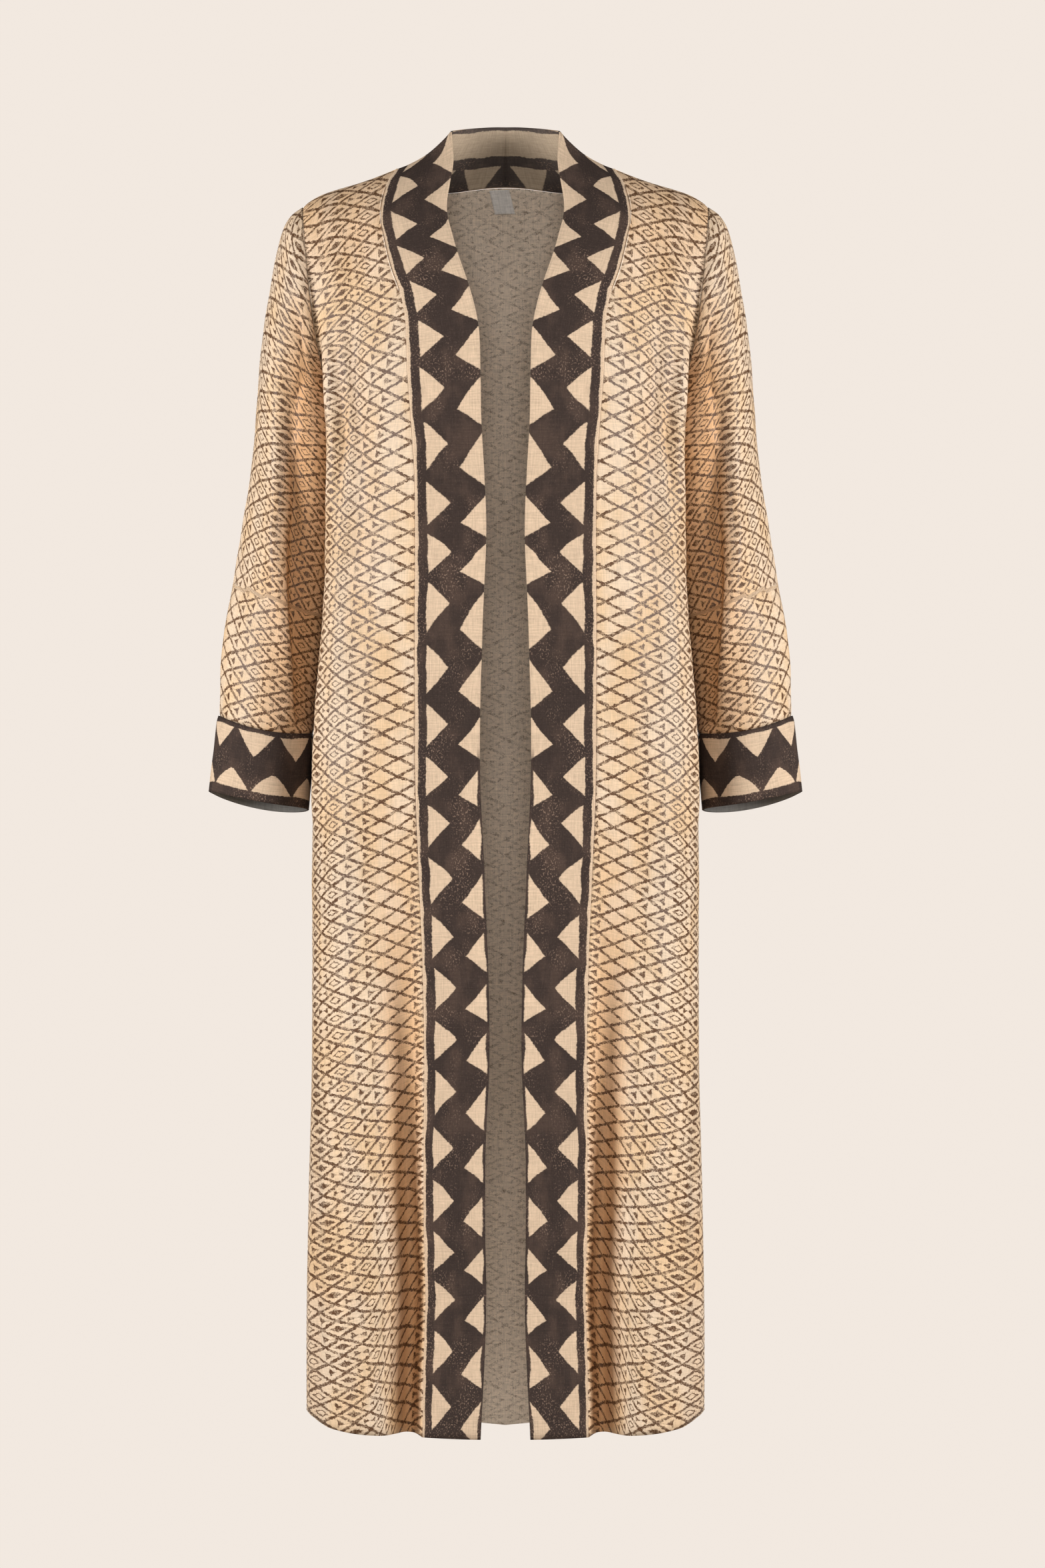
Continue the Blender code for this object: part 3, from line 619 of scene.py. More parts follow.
for block in rows_of(SLEEVE_PRINT):
    pitch = block["round_1"] + block["round_down"] * down
    column = block["column_0"] + block["down_1"] * down + block["down_2"] * down ** 2 + pitch * PRINT_MIDDLE
    column += np.maximum(pitch, LEAST_PITCH) * (ahead - PRINT_MIDDLE) - LEAST_PITCH * behind
    slant = block["row_round"] + block["row_round_down"] * down
    half_row = block["row_0"] + block["row_down_1"] * down + block["row_down_2"] * down ** 2
    half_row += slant * PRINT_MIDDLE + (sleeve_along - down) * 2 / ROW - BACK_SLANT * arched(behind)
    half_row += slant * (1 + CAP_SLANT * capped) * (arched(ahead) + ARCH / 2 - PRINT_MIDDLE)
    blocks.append(joined(column * COLUMN, half_row * ROW / 2))
below_joint = sleeve_along - BLOCK_JOINT_SLANT * print_reach > BLOCK_JOINT
sleeve_chart = np.where(below_joint[..., None], blocks[1], blocks[0])

flip = np.array([-1.0, 1.0, 1.0])
SIDES = {"left": np.ones(3), "right": flip}
sleeve_charts = {"cloth": closed_round(sleeve_chart), "folds": closed_round(sleeve_painted_shade)}
for side, mirror in SIDES.items():
    sleeve_cloth = sheet_of_cloth(
        "sleeve_cloth_" + side, closed_round(sleeve) * mirror, closed_round(sleeve_out) * mirror,
        sleeve_charts, CLOTH, (printed, reverse), closed=True)
    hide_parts("sleeve_" + side)


# Front panels: the same printed cotton, cut away at the neck for the band. Each is sewn to the back at the
# shoulder and side, to the sleeve round the armhole and to the band down its front edge; the hem hangs free.
# The band down a front: its seam, its free edge and how far it bulges between them
FRONT_BAND = in_mm(
    "seam_z seam_x seam_y edge_x edge_y edge_z crown",
    (0.5, 107.1, 4, 54.2, 18, 38.5, -5.8),
    (-12.1, 113.6, -16, 51.2, -6, 11.2, -3),
    (-30.6, 119, -36, 54.1, -30, -17.9, 0.5),
    (-47.5, 121.1, -52, 56.5, -47, -38.9, 2.5),
    (-82.9, 115.5, -75, 51.2, -73, -71.7, 2),
    (-109, 108.8, -89, 43.6, -92, -98.5, 1),
    (-130.6, 101, -98.5, 36.6, -104, -119.4, 1),
    (-150.8, 96.6, -105.5, 30.7, -113, -139.9, 1),
    (-175.8, 94.8, -111.5, 25.4, -120, -166.9, 1.5),
    (-205.4, 93.8, -115.5, 24, -126, -201.5, 1.5),
    (-254.4, 90.1, -118.5, 23.1, -130, -253.3, 1.5),
    (-307.9, 86.8, -119, 20.2, -131, -308.7, 1.5),
    (-346.8, 86.2, -118, 18.5, -130, -347.5, 1.5),
    (-444.1, 86.5, -116, 21.6, -128, -444.6, 1.5),
    (-541.5, 86.3, -115, 24.3, -127.5, -541.7, 1.5),
    (-600, 86, -114.5, 24.1, -127, -600, 1.5),
    (-683.8, 82.8, -114, 20.2, -126.5, -683.6, 2),
    (-785.2, 78.8, -113.5, 16.3, -127.5, -784.7, 2),
    (-866.1, 77.6, -112.5, 15.4, -129, -865.4, 2),
    (-944, 78.3, -111, 19.2, -130, -943.1, 2.5),
    (-1019, 78.3, -110, 19.6, -131, -1018, 2.5),
    (-1092.2, 76.6, -108.5, 18.8, -132, -1090.9, 3),
    (-1150.6, 78.5, -107.5, 20.4, -133, -1149.1, 3),
    (-1222, 79.5, -107, 24, -134, -1220.5, 3),
)
# The side seam below the armhole, and how far the panels swell beside it
SIDE_SEAM = in_mm(
    "z x y swell",
    (-240, 150, 4, 33),
    (-264, 150.8, 4, 31.2),
    (-280, 152, 4, 29.2),
    (-305, 154.2, 4, 25.5),
    (-340, 157.8, 4, 21),
    (-385, 162, 3.5, 18),
    (-433, 167.2, 3, 17.2),
    (-489, 173.2, 2, 17),
    (-551, 181.6, 0, 18),
    (-600, 186.2, 0, 13),
    (-660, 187.4, 0, 4),
    (-745, 187.5, 0, 0),
    (-876, 188.8, 0, 0),
    (-980, 191.4, 0, 0),
    (-1070, 193.6, 0, 0),
    (-1240, 194.4, 0, 0),
)
# How round a panel's rows run down the armhole, and how far they swell beside it
ROUNDING = table(
    "share front_round back_round swell",
    (0, 1, 1.5, 0),
    (0.3, 1.1, 1.7, 0),
    (0.5, 1.25, 1.85, 0.004),
    (0.7, 1.45, 1.95, 0.014),
    (0.85, 1.65, 2, 0.0245),
    (1, 1.85, 2.1, 0.033),
)
# Long folds by their distance from the band seam, and the heights between which they grow and die out
FRONT_FOLDS = in_mm(
    "reach_top reach_hem spread start full fade end rise",
    (128, 130, 24, -700, -1160, -2000, -2100, -4.5),
    (62, 86, 18, -110, -220, -360, -560, -3),
)
# The deep flute beside the band, by its distance from the band seam at the hem
FRONT_FLUTE = in_mm(
    "reach rise",
    (0, 0), (3, -13), (7, -26.5), (13, -32), (20, -28.5), (27, -12.5), (35, 5.5), (45, 12), (58, 13.5),
    (80, 8.5), (105, 2), (130, 0), (400, 0),
)
FRONT_CREASES = in_mm(
    "across along to_across to_along width rise",
    (6, 58, 50, 84, 5, -1.4),
    (10, 72, 46, 100, 5.5, -1.2),
    (18, 46, 60, 68, 6, 1.2),
    (60, 150, 74, 330, 7.5, -2.6),
    (80, 140, 92, 370, 5.5, -4.8),
    (96, 150, 104, 350, 6.5, 3),
    (92, 400, 70, 560, 14, 1.4),
    (40, 470, 52, 700, 15, -1.4),
    (110, 560, 92, 800, 13, -1.6),
    (52, 880, 46, 1190, 9, 2.2),
    (100, 860, 104, 1150, 11, 1.8),
)
FLUTE_TOP_Z = -0.540
FLUTE_FULL_Z = -1.130
FLUTE_TOP_SPREAD = 0.75
FLUTE_LIFT = 0.20
FLUTE_COLUMNS = 4.5
NECK_POINT_Z = 0.0005
ARMPIT_Z = -0.2400
HEM_FRONT_Z = -1.2220
HEM_SIDE_Z = -1.2085
ARMHOLE_ROWS = AROUND // 2
SKIRT_ROWS = 138
PANEL_COLUMNS = 52
BAND_SIDE_CLOSER = 1.35
BAND_SIDE_HELD = 0.45
SWELL_CENTRE = 0.60
SWELL_HALF = 0.33
SHOULDER_ARCH = 0.0048
SHOULDER_ARCH_LEAN = 2.5
SKIRT_FRONT_ROUND = 2.55
SKIRT_ROUND_SHARE = 0.35
EASED_FULL_ROWS = 21.6
EASED_ROWS = 57.6
EASED_COLUMNS = 32.0
EASED_PASSES = 1080
BAND_SEAM_FLAT = 0.014
SIDE_SEAM_FLAT = 0.030
# Painted shade on the shoulders: how strong it is, and the heights over which it fades out downwards
SHOULDER_SHADE = 0.22
SHOULDER_SHADE_LOW_Z = -0.150
SHOULDER_SHADE_FADE = 0.090
# The print's place on a front: how far six of its columns stand from the coat's middle, and in thousandths
# how steeply its rows slant
PRINT_COLUMNS = (-1, 2, 3, 4, 5, 6)
FRONT_PRINT = in_mm(
    "z c0 c1 c2 c3 c4 c5 lift",
    (50, 27, 78, 95, 111.5, 128, 144.5, 200),
    (-65, 55, 105.6, 122.2, 137.5, 152, 166, 190),
    (-148, 54, 102.7, 118.9, 133.2, 142.8, 152.9, 140),
    (-181, 59, 110.2, 127.5, 139.2, 146.1, 153.3, 110),
    (-226, 67, 115.6, 130.2, 141.3, 147.3, 152, 60),
    (-286, 73, 124.2, 137.8, 148.2, 157.5, 162.4, 20),
    (-347, 74, 126.2, 141.3, 152.4, 159.9, 165, 0),
    (-506, 82, 134.1, 150.9, 163.3, 172.3, 177.7, 40),
    (-580, 85, 135.1, 152.3, 164.6, 173.2, 179, 50),
    (-705, 89.5, 134.3, 151.3, 167.6, 177.2, 182.8, 120),
    (-769, 87.5, 132.3, 148.6, 164.8, 176.3, 183, 140),
    (-833, 85.8, 126.9, 143.4, 161, 175.5, 184, 170),
    (-884, 85.8, 124, 138.9, 156.4, 172.4, 183, 200),
    (-998.5, 83.6, 113.6, 124.3, 139.5, 156.8, 172.5, 270),
    (-1042.6, 84.9, 111.2, 119.8, 133.4, 150.9, 170.4, 290),
    (-1091, 83.3, 108.4, 114.9, 127.1, 143.8, 163.6, 290),
    (-1135.8, 88.5, 110.9, 114.1, 121.1, 136.2, 157.1, 250),
    (-1178.7, 90.6, 110.9, 113.3, 115.7, 129.8, 146.5, 180),
    (-1245, 92, 111, 113, 115, 124, 137, 120),
)
OUTLINE_SHARE = 0.985
SETTLED_PASSES = 6
SHOULDER_LEVEL = 0.5
SHOULDER_LEVEL_DEPTH = 0.20
ARMHOLE_DROP = 0.016
ARMHOLE_DROP_WIDTH = 0.050
ARMHOLE_DROP_Z = -0.42
ARMHOLE_DROP_FADE = 0.12
PRINT_LIFT_FROM = 0.060


def spread(start, end, roundness, swell, shares):
    """Rows of points from a start line to an end line, rounded, with a swell beside the end."""
    angle = shares * math.pi / 2
    power = 2 / roundness[:, None]
    along = np.sin(angle) ** power
    across = 1 - np.cos(angle) ** power
    off_centre = np.clip((shares - SWELL_CENTRE) / SWELL_HALF, -1, 1)
    mix = joined(along, across, (along + across) / 2)
    grid = between(start[:, None], end[:, None], mix)
    grid[..., 0] += swell[:, None] * np.cos(off_centre * math.pi / 2) ** 2
    return grid


def row_reach(grid):
    """Distance along each row of a panel from its first column."""
    steps = np.linalg.norm(np.diff(grid, axis=1), axis=-1)
    return np.concatenate([np.zeros((len(grid), 1)), np.cumsum(steps, axis=1)], axis=1)


def long_folds(reach, z, folds):
    """How far a panel's long hanging folds lift it."""
    to_hem = np.clip((ARMPIT_Z - z) / (ARMPIT_Z - HEM_SIDE_Z), 0, 1)
    lifted = np.zeros(z.shape)
    for fold in rows_of(folds):
        middle = between(fold["reach_top"], fold["reach_hem"], to_hem)
        near = hump((reach - middle) / fold["spread"]) + hump((reach + middle) / fold["spread"])
        lifted += fold["rise"] * grown(z, fold) * near
    return lifted


def settled(values):
    """Inner rows of values, each drawn halfway to the rows beside it."""
    return (values[:-2] + 2 * values[1:-1] + values[2:]) / 4


def eased(grid, shares):
    """A panel's grid drawn smooth down its columns where the armhole runs into the side seam."""
    rows = np.arange(len(grid))
    columns = (1 - shares) * (len(shares) - 1)
    near = ease((EASED_ROWS - np.abs(rows - ARMHOLE_ROWS)) / (EASED_ROWS - EASED_FULL_ROWS))
    share = near[:, None] * ease(columns / EASED_COLUMNS)
    drawn = grid.copy()
    for _ in range(EASED_PASSES):
        drawn[1:-1] += (settled(drawn) - drawn[1:-1]) * share[1:-1, :, None]
    return drawn


armhole_share = np.linspace(0, 1, ARMHOLE_ROWS + 1)
skirt_share = np.linspace(0, 1, SKIRT_ROWS + 1)[1:]
row_round = curves(ROUNDING, "share", armhole_share)


def heights(top, hem):
    """Row heights along one edge of a panel."""
    return np.concatenate([between(top, ARMPIT_Z, armhole_share), between(ARMPIT_Z, hem, skirt_share)])


def roundness_down(panel, at_hem):
    """How round a panel's rows run, from the shoulder to the hem."""
    upper = row_round[panel]
    lower = between(upper[-1], at_hem, ease(skirt_share / SKIRT_ROUND_SHARE))
    return np.concatenate([upper, lower])


side_z = heights(NECK_POINT_Z, HEM_SIDE_Z)[ARMHOLE_ROWS + 1:]
side_at = curves(SIDE_SEAM, "z", side_z)
side_line = joined(side_at["x"], side_at["y"], side_z)
swell = np.concatenate([row_round["swell"], side_at["swell"]])
band_z = heights(NECK_POINT_Z, HEM_FRONT_Z)
band_at = curves(FRONT_BAND, "seam_z", band_z)
front_seam = joined(band_at["seam_x"], band_at["seam_y"], band_z)
front_side = np.concatenate([armhole[:ARMHOLE_ROWS + 1], side_line])
panel_share = np.linspace(0, 1, PANEL_COLUMNS + 1) ** BAND_SIDE_CLOSER
front_round = roundness_down("front_round", SKIRT_FRONT_ROUND)
front = spread(front_seam, front_side, front_round, swell, panel_share)
shoulder_share = (front[0, :, 0] - front[0, 0, 0]) / (front[0, -1, 0] - front[0, 0, 0])
shoulder_lift = SHOULDER_ARCH * np.sin(math.pi * shoulder_share ** SHOULDER_ARCH_LEAN)
front[:ARMHOLE_ROWS + 1, :, 2] += shoulder_lift * ((1 - armhole_share) ** 2)[:, None]
front = between(front, eased(front, panel_share), ease(panel_share / BAND_SIDE_HELD)[:, None])
shoulder_line = front[0].copy()
front_z = front[..., 2]
front_reach = row_reach(front)
to_side = front_reach[:, -1:] - front_reach
from_shoulder = from_first(front)
front_rise = long_folds(front_reach, front_z, FRONT_FOLDS) + uneven(front_reach, front_z)
front_rise += creased(front_reach, -front_z, FRONT_CREASES)
front_rise *= ease(front_reach / BAND_SEAM_FLAT) * ease(from_shoulder / SEAM_FLAT)
fallen = ease((FLUTE_TOP_Z - front_z) / (FLUTE_TOP_Z - FLUTE_FULL_Z))
narrowed = front_reach / (1 + FLUTE_TOP_SPREAD * (1 - fallen))
front_rise += fallen * curves(FRONT_FLUTE, "reach", narrowed)["rise"]
front_rise *= ease(to_side / SIDE_SEAM_FLAT)
front_rise += dipped(front_reach) + dipped(to_side) + dipped(from_shoulder)
# Painted shade on the front: darker in deep folds and on the shoulder, fading out below it
shoulder_top_shade = SHOULDER_SHADE * ease((front_z - SHOULDER_SHADE_LOW_Z) / SHOULDER_SHADE_FADE)
front_painted_shade = joined(painted_fold_shade(front_rise), shoulder_top_shade)
front, front_out = raised(front, front_rise, 1)

print_z = front[..., 2]
print_at = {name: np.interp(-print_z, -FRONT_PRINT["z"], column) for name, column in FRONT_PRINT.items()}
knots = np.stack([print_at["c%d" % n] for n in range(len(PRINT_COLUMNS))], axis=-1)
cloth_reach = row_reach(front)
columns = np.zeros(print_z.shape)
for i, row in enumerate(front[..., 0]):
    turned_away = np.argmax(row > OUTLINE_SHARE * row.max())
    for j, x in enumerate(row):
        outside = min(x - knots[i, j, 0], 0) + max(x - knots[i, j, -1], 0)
        columns[i, j] = np.interp(x, knots[i, j], PRINT_COLUMNS) + outside / COLUMN
        if j > turned_away:
            columns[i, j] = columns[i, j - 1] + (cloth_reach[i, j] - cloth_reach[i, j - 1]) / COLUMN
for _ in range(SETTLED_PASSES):
    columns[1:-1] = settled(columns)
    columns[:, 1:-1] = settled(columns.T).T
level = SHOULDER_LEVEL * ease(1 + print_z / SHOULDER_LEVEL_DEPTH)
by_armhole = ease(1 - (cloth_reach[:, -1:] - cloth_reach) / ARMHOLE_DROP_WIDTH)
by_armhole *= ease((print_z - ARMHOLE_DROP_Z) / ARMHOLE_DROP_FADE)
print_along = -between(print_z, band_z[:, None], level) - ARMHOLE_DROP * by_armhole
print_along += print_at["lift"] * (PRINT_LIFT_FROM - columns * COLUMN)
print_along += FLUTE_LIFT * fallen * np.maximum(FLUTE_COLUMNS - columns, 0) * COLUMN

front_charts = {"cloth": joined(columns * COLUMN, print_along), "folds": front_painted_shade}
for side, mirror in SIDES.items():
    front_cloth = sheet_of_cloth(
        "front_cloth_" + side, front * mirror, front_out * mirror, front_charts, CLOTH, (printed, reverse))
    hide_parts("front_" + side)


# Back panel: one running width of the printed cotton from neck to hem. It carries both shoulders, is sewn to
# the band round the neck and to the fronts and sleeves at its sides, and hangs in long soft folds.
BACK_LINE = in_mm(
    "z y",
    (-12, 70), (-40, 86), (-80, 101), (-130, 112), (-185, 117), (-240, 117), (-310, 113), (-390, 109.5),
    (-470, 112), (-560, 118.5), (-660, 124), (-800, 127), (-1000, 129), (-1240, 131),
)
BACK_FOLDS = in_mm(
    "reach_top reach_hem spread start full fade end rise",
    (48, 56, 26, -330, -1050, -2000, -2100, 6.5),
    (94, 112, 26, -380, -1100, -2000, -2100, -8.5),
    (140, 168, 28, -480, -1120, -2000, -2100, 6),
    (110, 128, 20, -110, -210, -300, -480, -3.5),
)
BACK_CREASES = in_mm(
    "across along to_across to_along width rise",
    (30, 50, 96, 92, 11, -1.4),
    (96, 160, 120, 300, 11, -2.2),
    (-90, 150, -118, 280, 10, -2),
    (-34, 46, -90, 96, 11, -1.2),
    (10, 320, 30, 520, 16, 1.6),
    (-60, 400, -36, 640, 15, -1.8),
    (80, 520, 66, 800, 14, 1.8),
    (-120, 560, -104, 860, 14, 1.6),
    (20, 760, 12, 1100, 12, -2),
    (-14, 860, -22, 1200, 12, 1.8),
)
NECK_BACK_Z = -0.0100
NECK_POINT = (0.1071, 0.0040, NECK_POINT_Z)
NECK_BACK = (0.0, 0.0700, NECK_BACK_Z)
NECK_DIP = 0.0100
NECK_FADE = 0.75
NECK_COLUMNS = 24
HEM_BACK_Z = -1.2430
SKIRT_BACK_ROUND = 2.30
BACK_FIRST_COLUMN = 41
BACK_UNEVEN_FROM = 0.4

neck_angle = np.linspace(0, math.pi / 2, NECK_COLUMNS + 1)


def round_neck(side, middle):
    """A line from the middle of the back round to one side of the neck."""
    swing = joined(1 - np.sin(neck_angle), np.cos(neck_angle), np.cos(neck_angle))
    return between(np.array(side), np.array(middle), swing)


def both_halves(values, mirror=1.0):
    """A half panel's grid and its mirror image, side by side."""
    return np.concatenate([values[:, :0:-1] * mirror, values], axis=1)


neck_seam = round_neck(NECK_POINT, NECK_BACK)
neck_seam[:, 2] -= NECK_DIP * np.sin(2 * neck_angle) ** 2
back_share = np.linspace(0, 1, NECK_COLUMNS + PANEL_COLUMNS + 1)
back_z = heights(NECK_BACK_Z, HEM_BACK_Z)
back_line = joined(np.zeros(len(back_z)), curves(BACK_LINE, "z", back_z)["y"], back_z)
back_side = np.concatenate([armhole[-np.arange(ARMHOLE_ROWS + 1)], side_line])
back = spread(back_line, back_side, roundness_down("back_round", SKIRT_BACK_ROUND), swell, back_share)
top_edge = np.concatenate([neck_seam, shoulder_line[1:]])
top_fade = np.clip(1 - armhole_share / NECK_FADE, 0, 1) ** 2
back[:ARMHOLE_ROWS + 1] += (top_edge - back[0]) * top_fade[:, None, None]
back = eased(back, back_share)
half_reach = row_reach(back)
half_to_side = half_reach[:, -1:] - half_reach
half_from_top = from_first(back)
free_of_side = ease(half_to_side / SIDE_SEAM_FLAT)
half_rise = long_folds(half_reach, back[..., 2], BACK_FOLDS) * free_of_side
half_free = ease(half_from_top / SEAM_FLAT) * free_of_side
half_dip = dipped(half_to_side) + dipped(half_from_top)
back_reach = both_halves(half_reach, -1.0)
back = both_halves(back, flip)
back_rise = both_halves(half_rise) + creased(back_reach, -back[..., 2], BACK_CREASES)
back_rise += uneven(back_reach, back[..., 2] + BACK_UNEVEN_FROM)
back_rise = back_rise * both_halves(half_free) + both_halves(half_dip)
back, back_out = raised(back, back_rise, -1)
# The folds chart holds painted shade in the back's deep folds
back_charts = {
    "cloth": joined(back_reach + BACK_FIRST_COLUMN * COLUMN, -back[..., 2]),
    "folds": joined(painted_fold_shade(back_rise), np.zeros(back_rise.shape)),
}
back_cloth = sheet_of_cloth("back_cloth", back, back_out, back_charts, CLOTH, (printed, reverse))
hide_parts("back_panel")


# Neck and front bands: a strip of border print, dark with pale triangles on both edges, folded double along
# its free edge. It is sewn round the neck and down each front, and joined at the centre back.
BAND_TOP_SIDE = (0.0542, 0.0180, 0.0385)
BAND_TOP_BACK = (0.0, 0.0760, 0.0505)
BAND_COLUMNS = 20
BAND_THICK = 0.0020
BAND_WIDTH = 0.066
BAND_FLAT = 0.01
# Heights of the triangles' tips down the front, in millimetres, and where in a repeat the tips lie
TRIANGLE_TIPS = np.array([
    20.3, -16.3, -60.1, -94.3, -130.1, -171.1, -218.8, -272.6, -330.6, -376.8, -422.9, -486.9, -540.6,
    -589.0, -633.6, -685.9, -741.7, -790.2, -838.7, -887.2, -941.0, -991.8, -1040.4, -1085.2, -1133.8,
    -1186.2, -1240.5,
]) / 1000
TIP_PHASES = np.arange(len(TRIANGLE_TIPS)) - 1 + 0.30
TIP_SHARE = 0.52
TIP_LEVEL = 0.76
TIP_LEVEL_Z = 0.015
TIP_LEVEL_FADE = 0.04
NECK_REPEAT = 0.044


def length_along(line):
    """Distance along a line of points from its start."""
    return row_reach(line[None])[0]


neck_edge = round_neck(BAND_TOP_SIDE, BAND_TOP_BACK)
front_edge = joined(band_at["edge_x"], band_at["edge_y"], band_at["edge_z"])
band_seam = np.concatenate([neck_seam, front_seam[1:]])
band_edge = np.concatenate([neck_edge, front_edge[1:]])
neck_crown = band_at["crown"][0] * np.sin(neck_angle[:-1])
crown = np.concatenate([neck_crown, band_at["crown"]])
band_share = np.linspace(0, 1, BAND_COLUMNS + 1)[:, None]
band = between(band_seam[:, None], band_edge[:, None], band_share)
band = band + facing(band, -1) * 4 * band_share * (1 - band_share) * crown[:, None, None]
band[0, :, 0] = 0.0
band_across = row_reach(band)
band_length = length_along(band[:, BAND_COLUMNS // 2])[:, None]
band_lift = dipped(band_across) + uneven(band_across, band_length) * ease(band_across / BAND_FLAT)
band, band_out = raised(band, band_lift, -1)
tip_z = between(band_seam, band_edge, TIP_SHARE)[:, 2:]
phase_by_row = np.interp(-tip_z, -TRIANGLE_TIPS, TIP_PHASES)
neck_length = band_length[NECK_COLUMNS] - band_length[:NECK_COLUMNS]
phase_by_row[:NECK_COLUMNS] = phase_by_row[NECK_COLUMNS] - neck_length / NECK_REPEAT
phase_by_height = np.interp(-band[..., 2], -TRIANGLE_TIPS, TIP_PHASES)
by_height = TIP_LEVEL * ease((TIP_LEVEL_Z - band_seam[:, 2:]) / TIP_LEVEL_FADE)
by_height[:NECK_COLUMNS] = 0.0
phase = between(phase_by_row, phase_by_height, by_height)
band_wide = band_across / band_across[:, -1:] * BAND_WIDTH
band_charts = {
    "cloth": joined(band_wide, np.broadcast_to(band_length, band_wide.shape)),
    "repeat": joined(band_wide, phase),
}

# The border's block, in millimetres across the band and repeats along it: leaning triangles on both edges,
# and on the folded-in face a plain strip and small points
MM = 1000.0
REPEAT_MM = 38.0
TALL = 22.0
POINTS_FROM = 12.0
POINTS_TO = 33.5
EDGE_POINTS_LATER = 0.22
PIPING = 3.2
FACING_FROM = 43.0
BARE_EDGE = 2.4
EDGE_WORN_REPEATS = 12.0
STRIP_FROM = 4.0
STRIP_TO = 31.5
STRIP_SOFT = 0.5
SEAM_RUBBED = 7.5
SEAM_RUBBED_SOFT = 3.5
PRINT_SOFT = 0.55


def leaning(turn, height, near, far, end, bow=0.0):
    """How far inside a leaning triangle a place lies, in millimetres; its two sides close in with height."""
    up = height * (1.0 / TALL)
    return (turn - (up * up * bow + up * near)).least((up * far + turn).less_from(end)) * REPEAT_MM


repeat, cloth, out = open_group("border_print", "Repeat Cloth", "Outside Inside Seam")
place = unsteady(repeat, cloth, close=380.0, reach=(0.0016, 0.030), detail=2.0)
wide, turn = parts_of(unsteady(place, cloth, close=30.0, reach=(0.0050, 0.100)))
wide = wide * MM
edge_in = wide.less_from(BAND_WIDTH * MM)
first = turn % 1.0
second = (turn - EDGE_POINTS_LATER) % 1.0
outer = leaning(first, wide - POINTS_FROM, near=0.30, far=0.42, end=0.80, bow=0.08)
outer = outer.least(wide - POINTS_FROM).least(wide.less_from(POINTS_TO)).over(0.0, PRINT_SOFT)
inner = leaning(second, edge_in, near=0.55, far=0.30, end=0.85).over(0.0, PRINT_SOFT)
inner = inner * edge_in.over(BARE_EDGE, 0.6).most(turn.under(EDGE_WORN_REPEATS, 0.3))
piping = wide.under(PIPING, 0.4)
points = leaning(first, edge_in - FACING_FROM, near=0.26, far=0.26, end=0.80)
points = points.least(edge_in - FACING_FROM).over(0.0, PRINT_SOFT)
plain_strip = edge_in.over(STRIP_FROM, STRIP_SOFT) * edge_in.under(STRIP_TO, STRIP_SOFT)
beside_seam = wide.under(SEAM_RUBBED, SEAM_RUBBED_SOFT)
feed(out, Outside=outer.most(inner).most(piping), Inside=plain_strip.most(points), Seam=beside_seam)

# Dark dye rubbed off the raised yarn in places, most of all beside a seam, and faded in broad clouds
cloth, seam, out = open_group("rubbed_dye", "Cloth Seam", "Rubbed Faded")
flecks = grain(cloth, 700.0, 480.0, detail=2.0).over(0.640, 0.070)
patches = grain(cloth, 30.0, 20.0, detail=2.0).over(0.56, 0.12) * 0.92 + 0.08
clouds = grain(cloth, 46.0, 28.0, detail=3.0).over(0.56, 0.14)
feed(out, Rubbed=flecks * patches.most(seam * 0.7), Faded=clouds)

DARK = (0.0395, 0.0265, 0.0218, 1.0)
DARK_FADED = (0.0620, 0.0400, 0.0310, 1.0)
DARK_FACING = (0.066, 0.051, 0.044, 1.0)
DARK_FACING_FADED = (0.090, 0.069, 0.058, 1.0)
DARK_WORN = (0.205, 0.136, 0.100, 1.0)
PALE = (0.575, 0.425, 0.295, 1.0)
PALE_FACING = (0.400, 0.310, 0.220, 1.0)


def border_finish(name, block, face, pale, dark, faded):
    """Border print on one face of a doubled piece, its dark ground worn by use."""
    finish, shader = new_finish(name, roughness=0.85, specular=0.12)
    chart = chart_of(shader)
    marks = placed(block, Repeat=chart_of(shader, "repeat"), Cloth=chart)
    wear = placed("rubbed_dye", Cloth=chart, Seam=marks.get("Seam", 0.0))
    ground = mixed(wear["Rubbed"], mixed(wear["Faded"], dark, faded), DARK_WORN)
    woven(shader, chart, mixed(marks[face], ground, pale), depth=0.0005)
    return finish


border = border_finish("border_cotton", "border_print", "Outside", PALE, DARK, DARK_FADED)
border_facing = border_finish(
    "border_cotton_facing", "border_print", "Inside", PALE_FACING, DARK_FACING, DARK_FACING_FADED)

# The row of small stitches that holds the band down beside its seam
STITCH_IN = 0.0018
STITCH_PITCH = 0.0027
STITCH_SIZE = np.array([0.00190, 0.00060, 0.00045])
STITCH_STRAY = 0.00012
TWIST = 900.0
THREAD = (0.560, 0.430, 0.295, 1.0)
THREAD_SHADE = (0.430, 0.315, 0.205, 1.0)
thread, shader = new_finish("sewing_thread", roughness=0.8)
spun = Strand(shader.id_data.nodes.new("ShaderNodeTexCoord").outputs["Object"])
twist = spun.node("TexNoise")
feed(twist, Scale=TWIST, Vector=spun)
feed(shader, Base_Color=mixed(Strand(twist.outputs["Fac"]), THREAD, THREAD_SHADE))


def on_stitches(values):
    """Band values on the line of stitches."""
    return between(values[:, 0], values[:, 1], STITCH_IN / band_across[:, 1:2])


stitch_line = on_stitches(band)
sewn_length = length_along(stitch_line)
stitch_at = np.arange(STITCH_PITCH, sewn_length[-1] - STITCH_PITCH, STITCH_PITCH)
draw = np.random.default_rng(seed=7)
stitch_at = stitch_at + draw.uniform(-STITCH_STRAY, STITCH_STRAY, len(stitch_at))


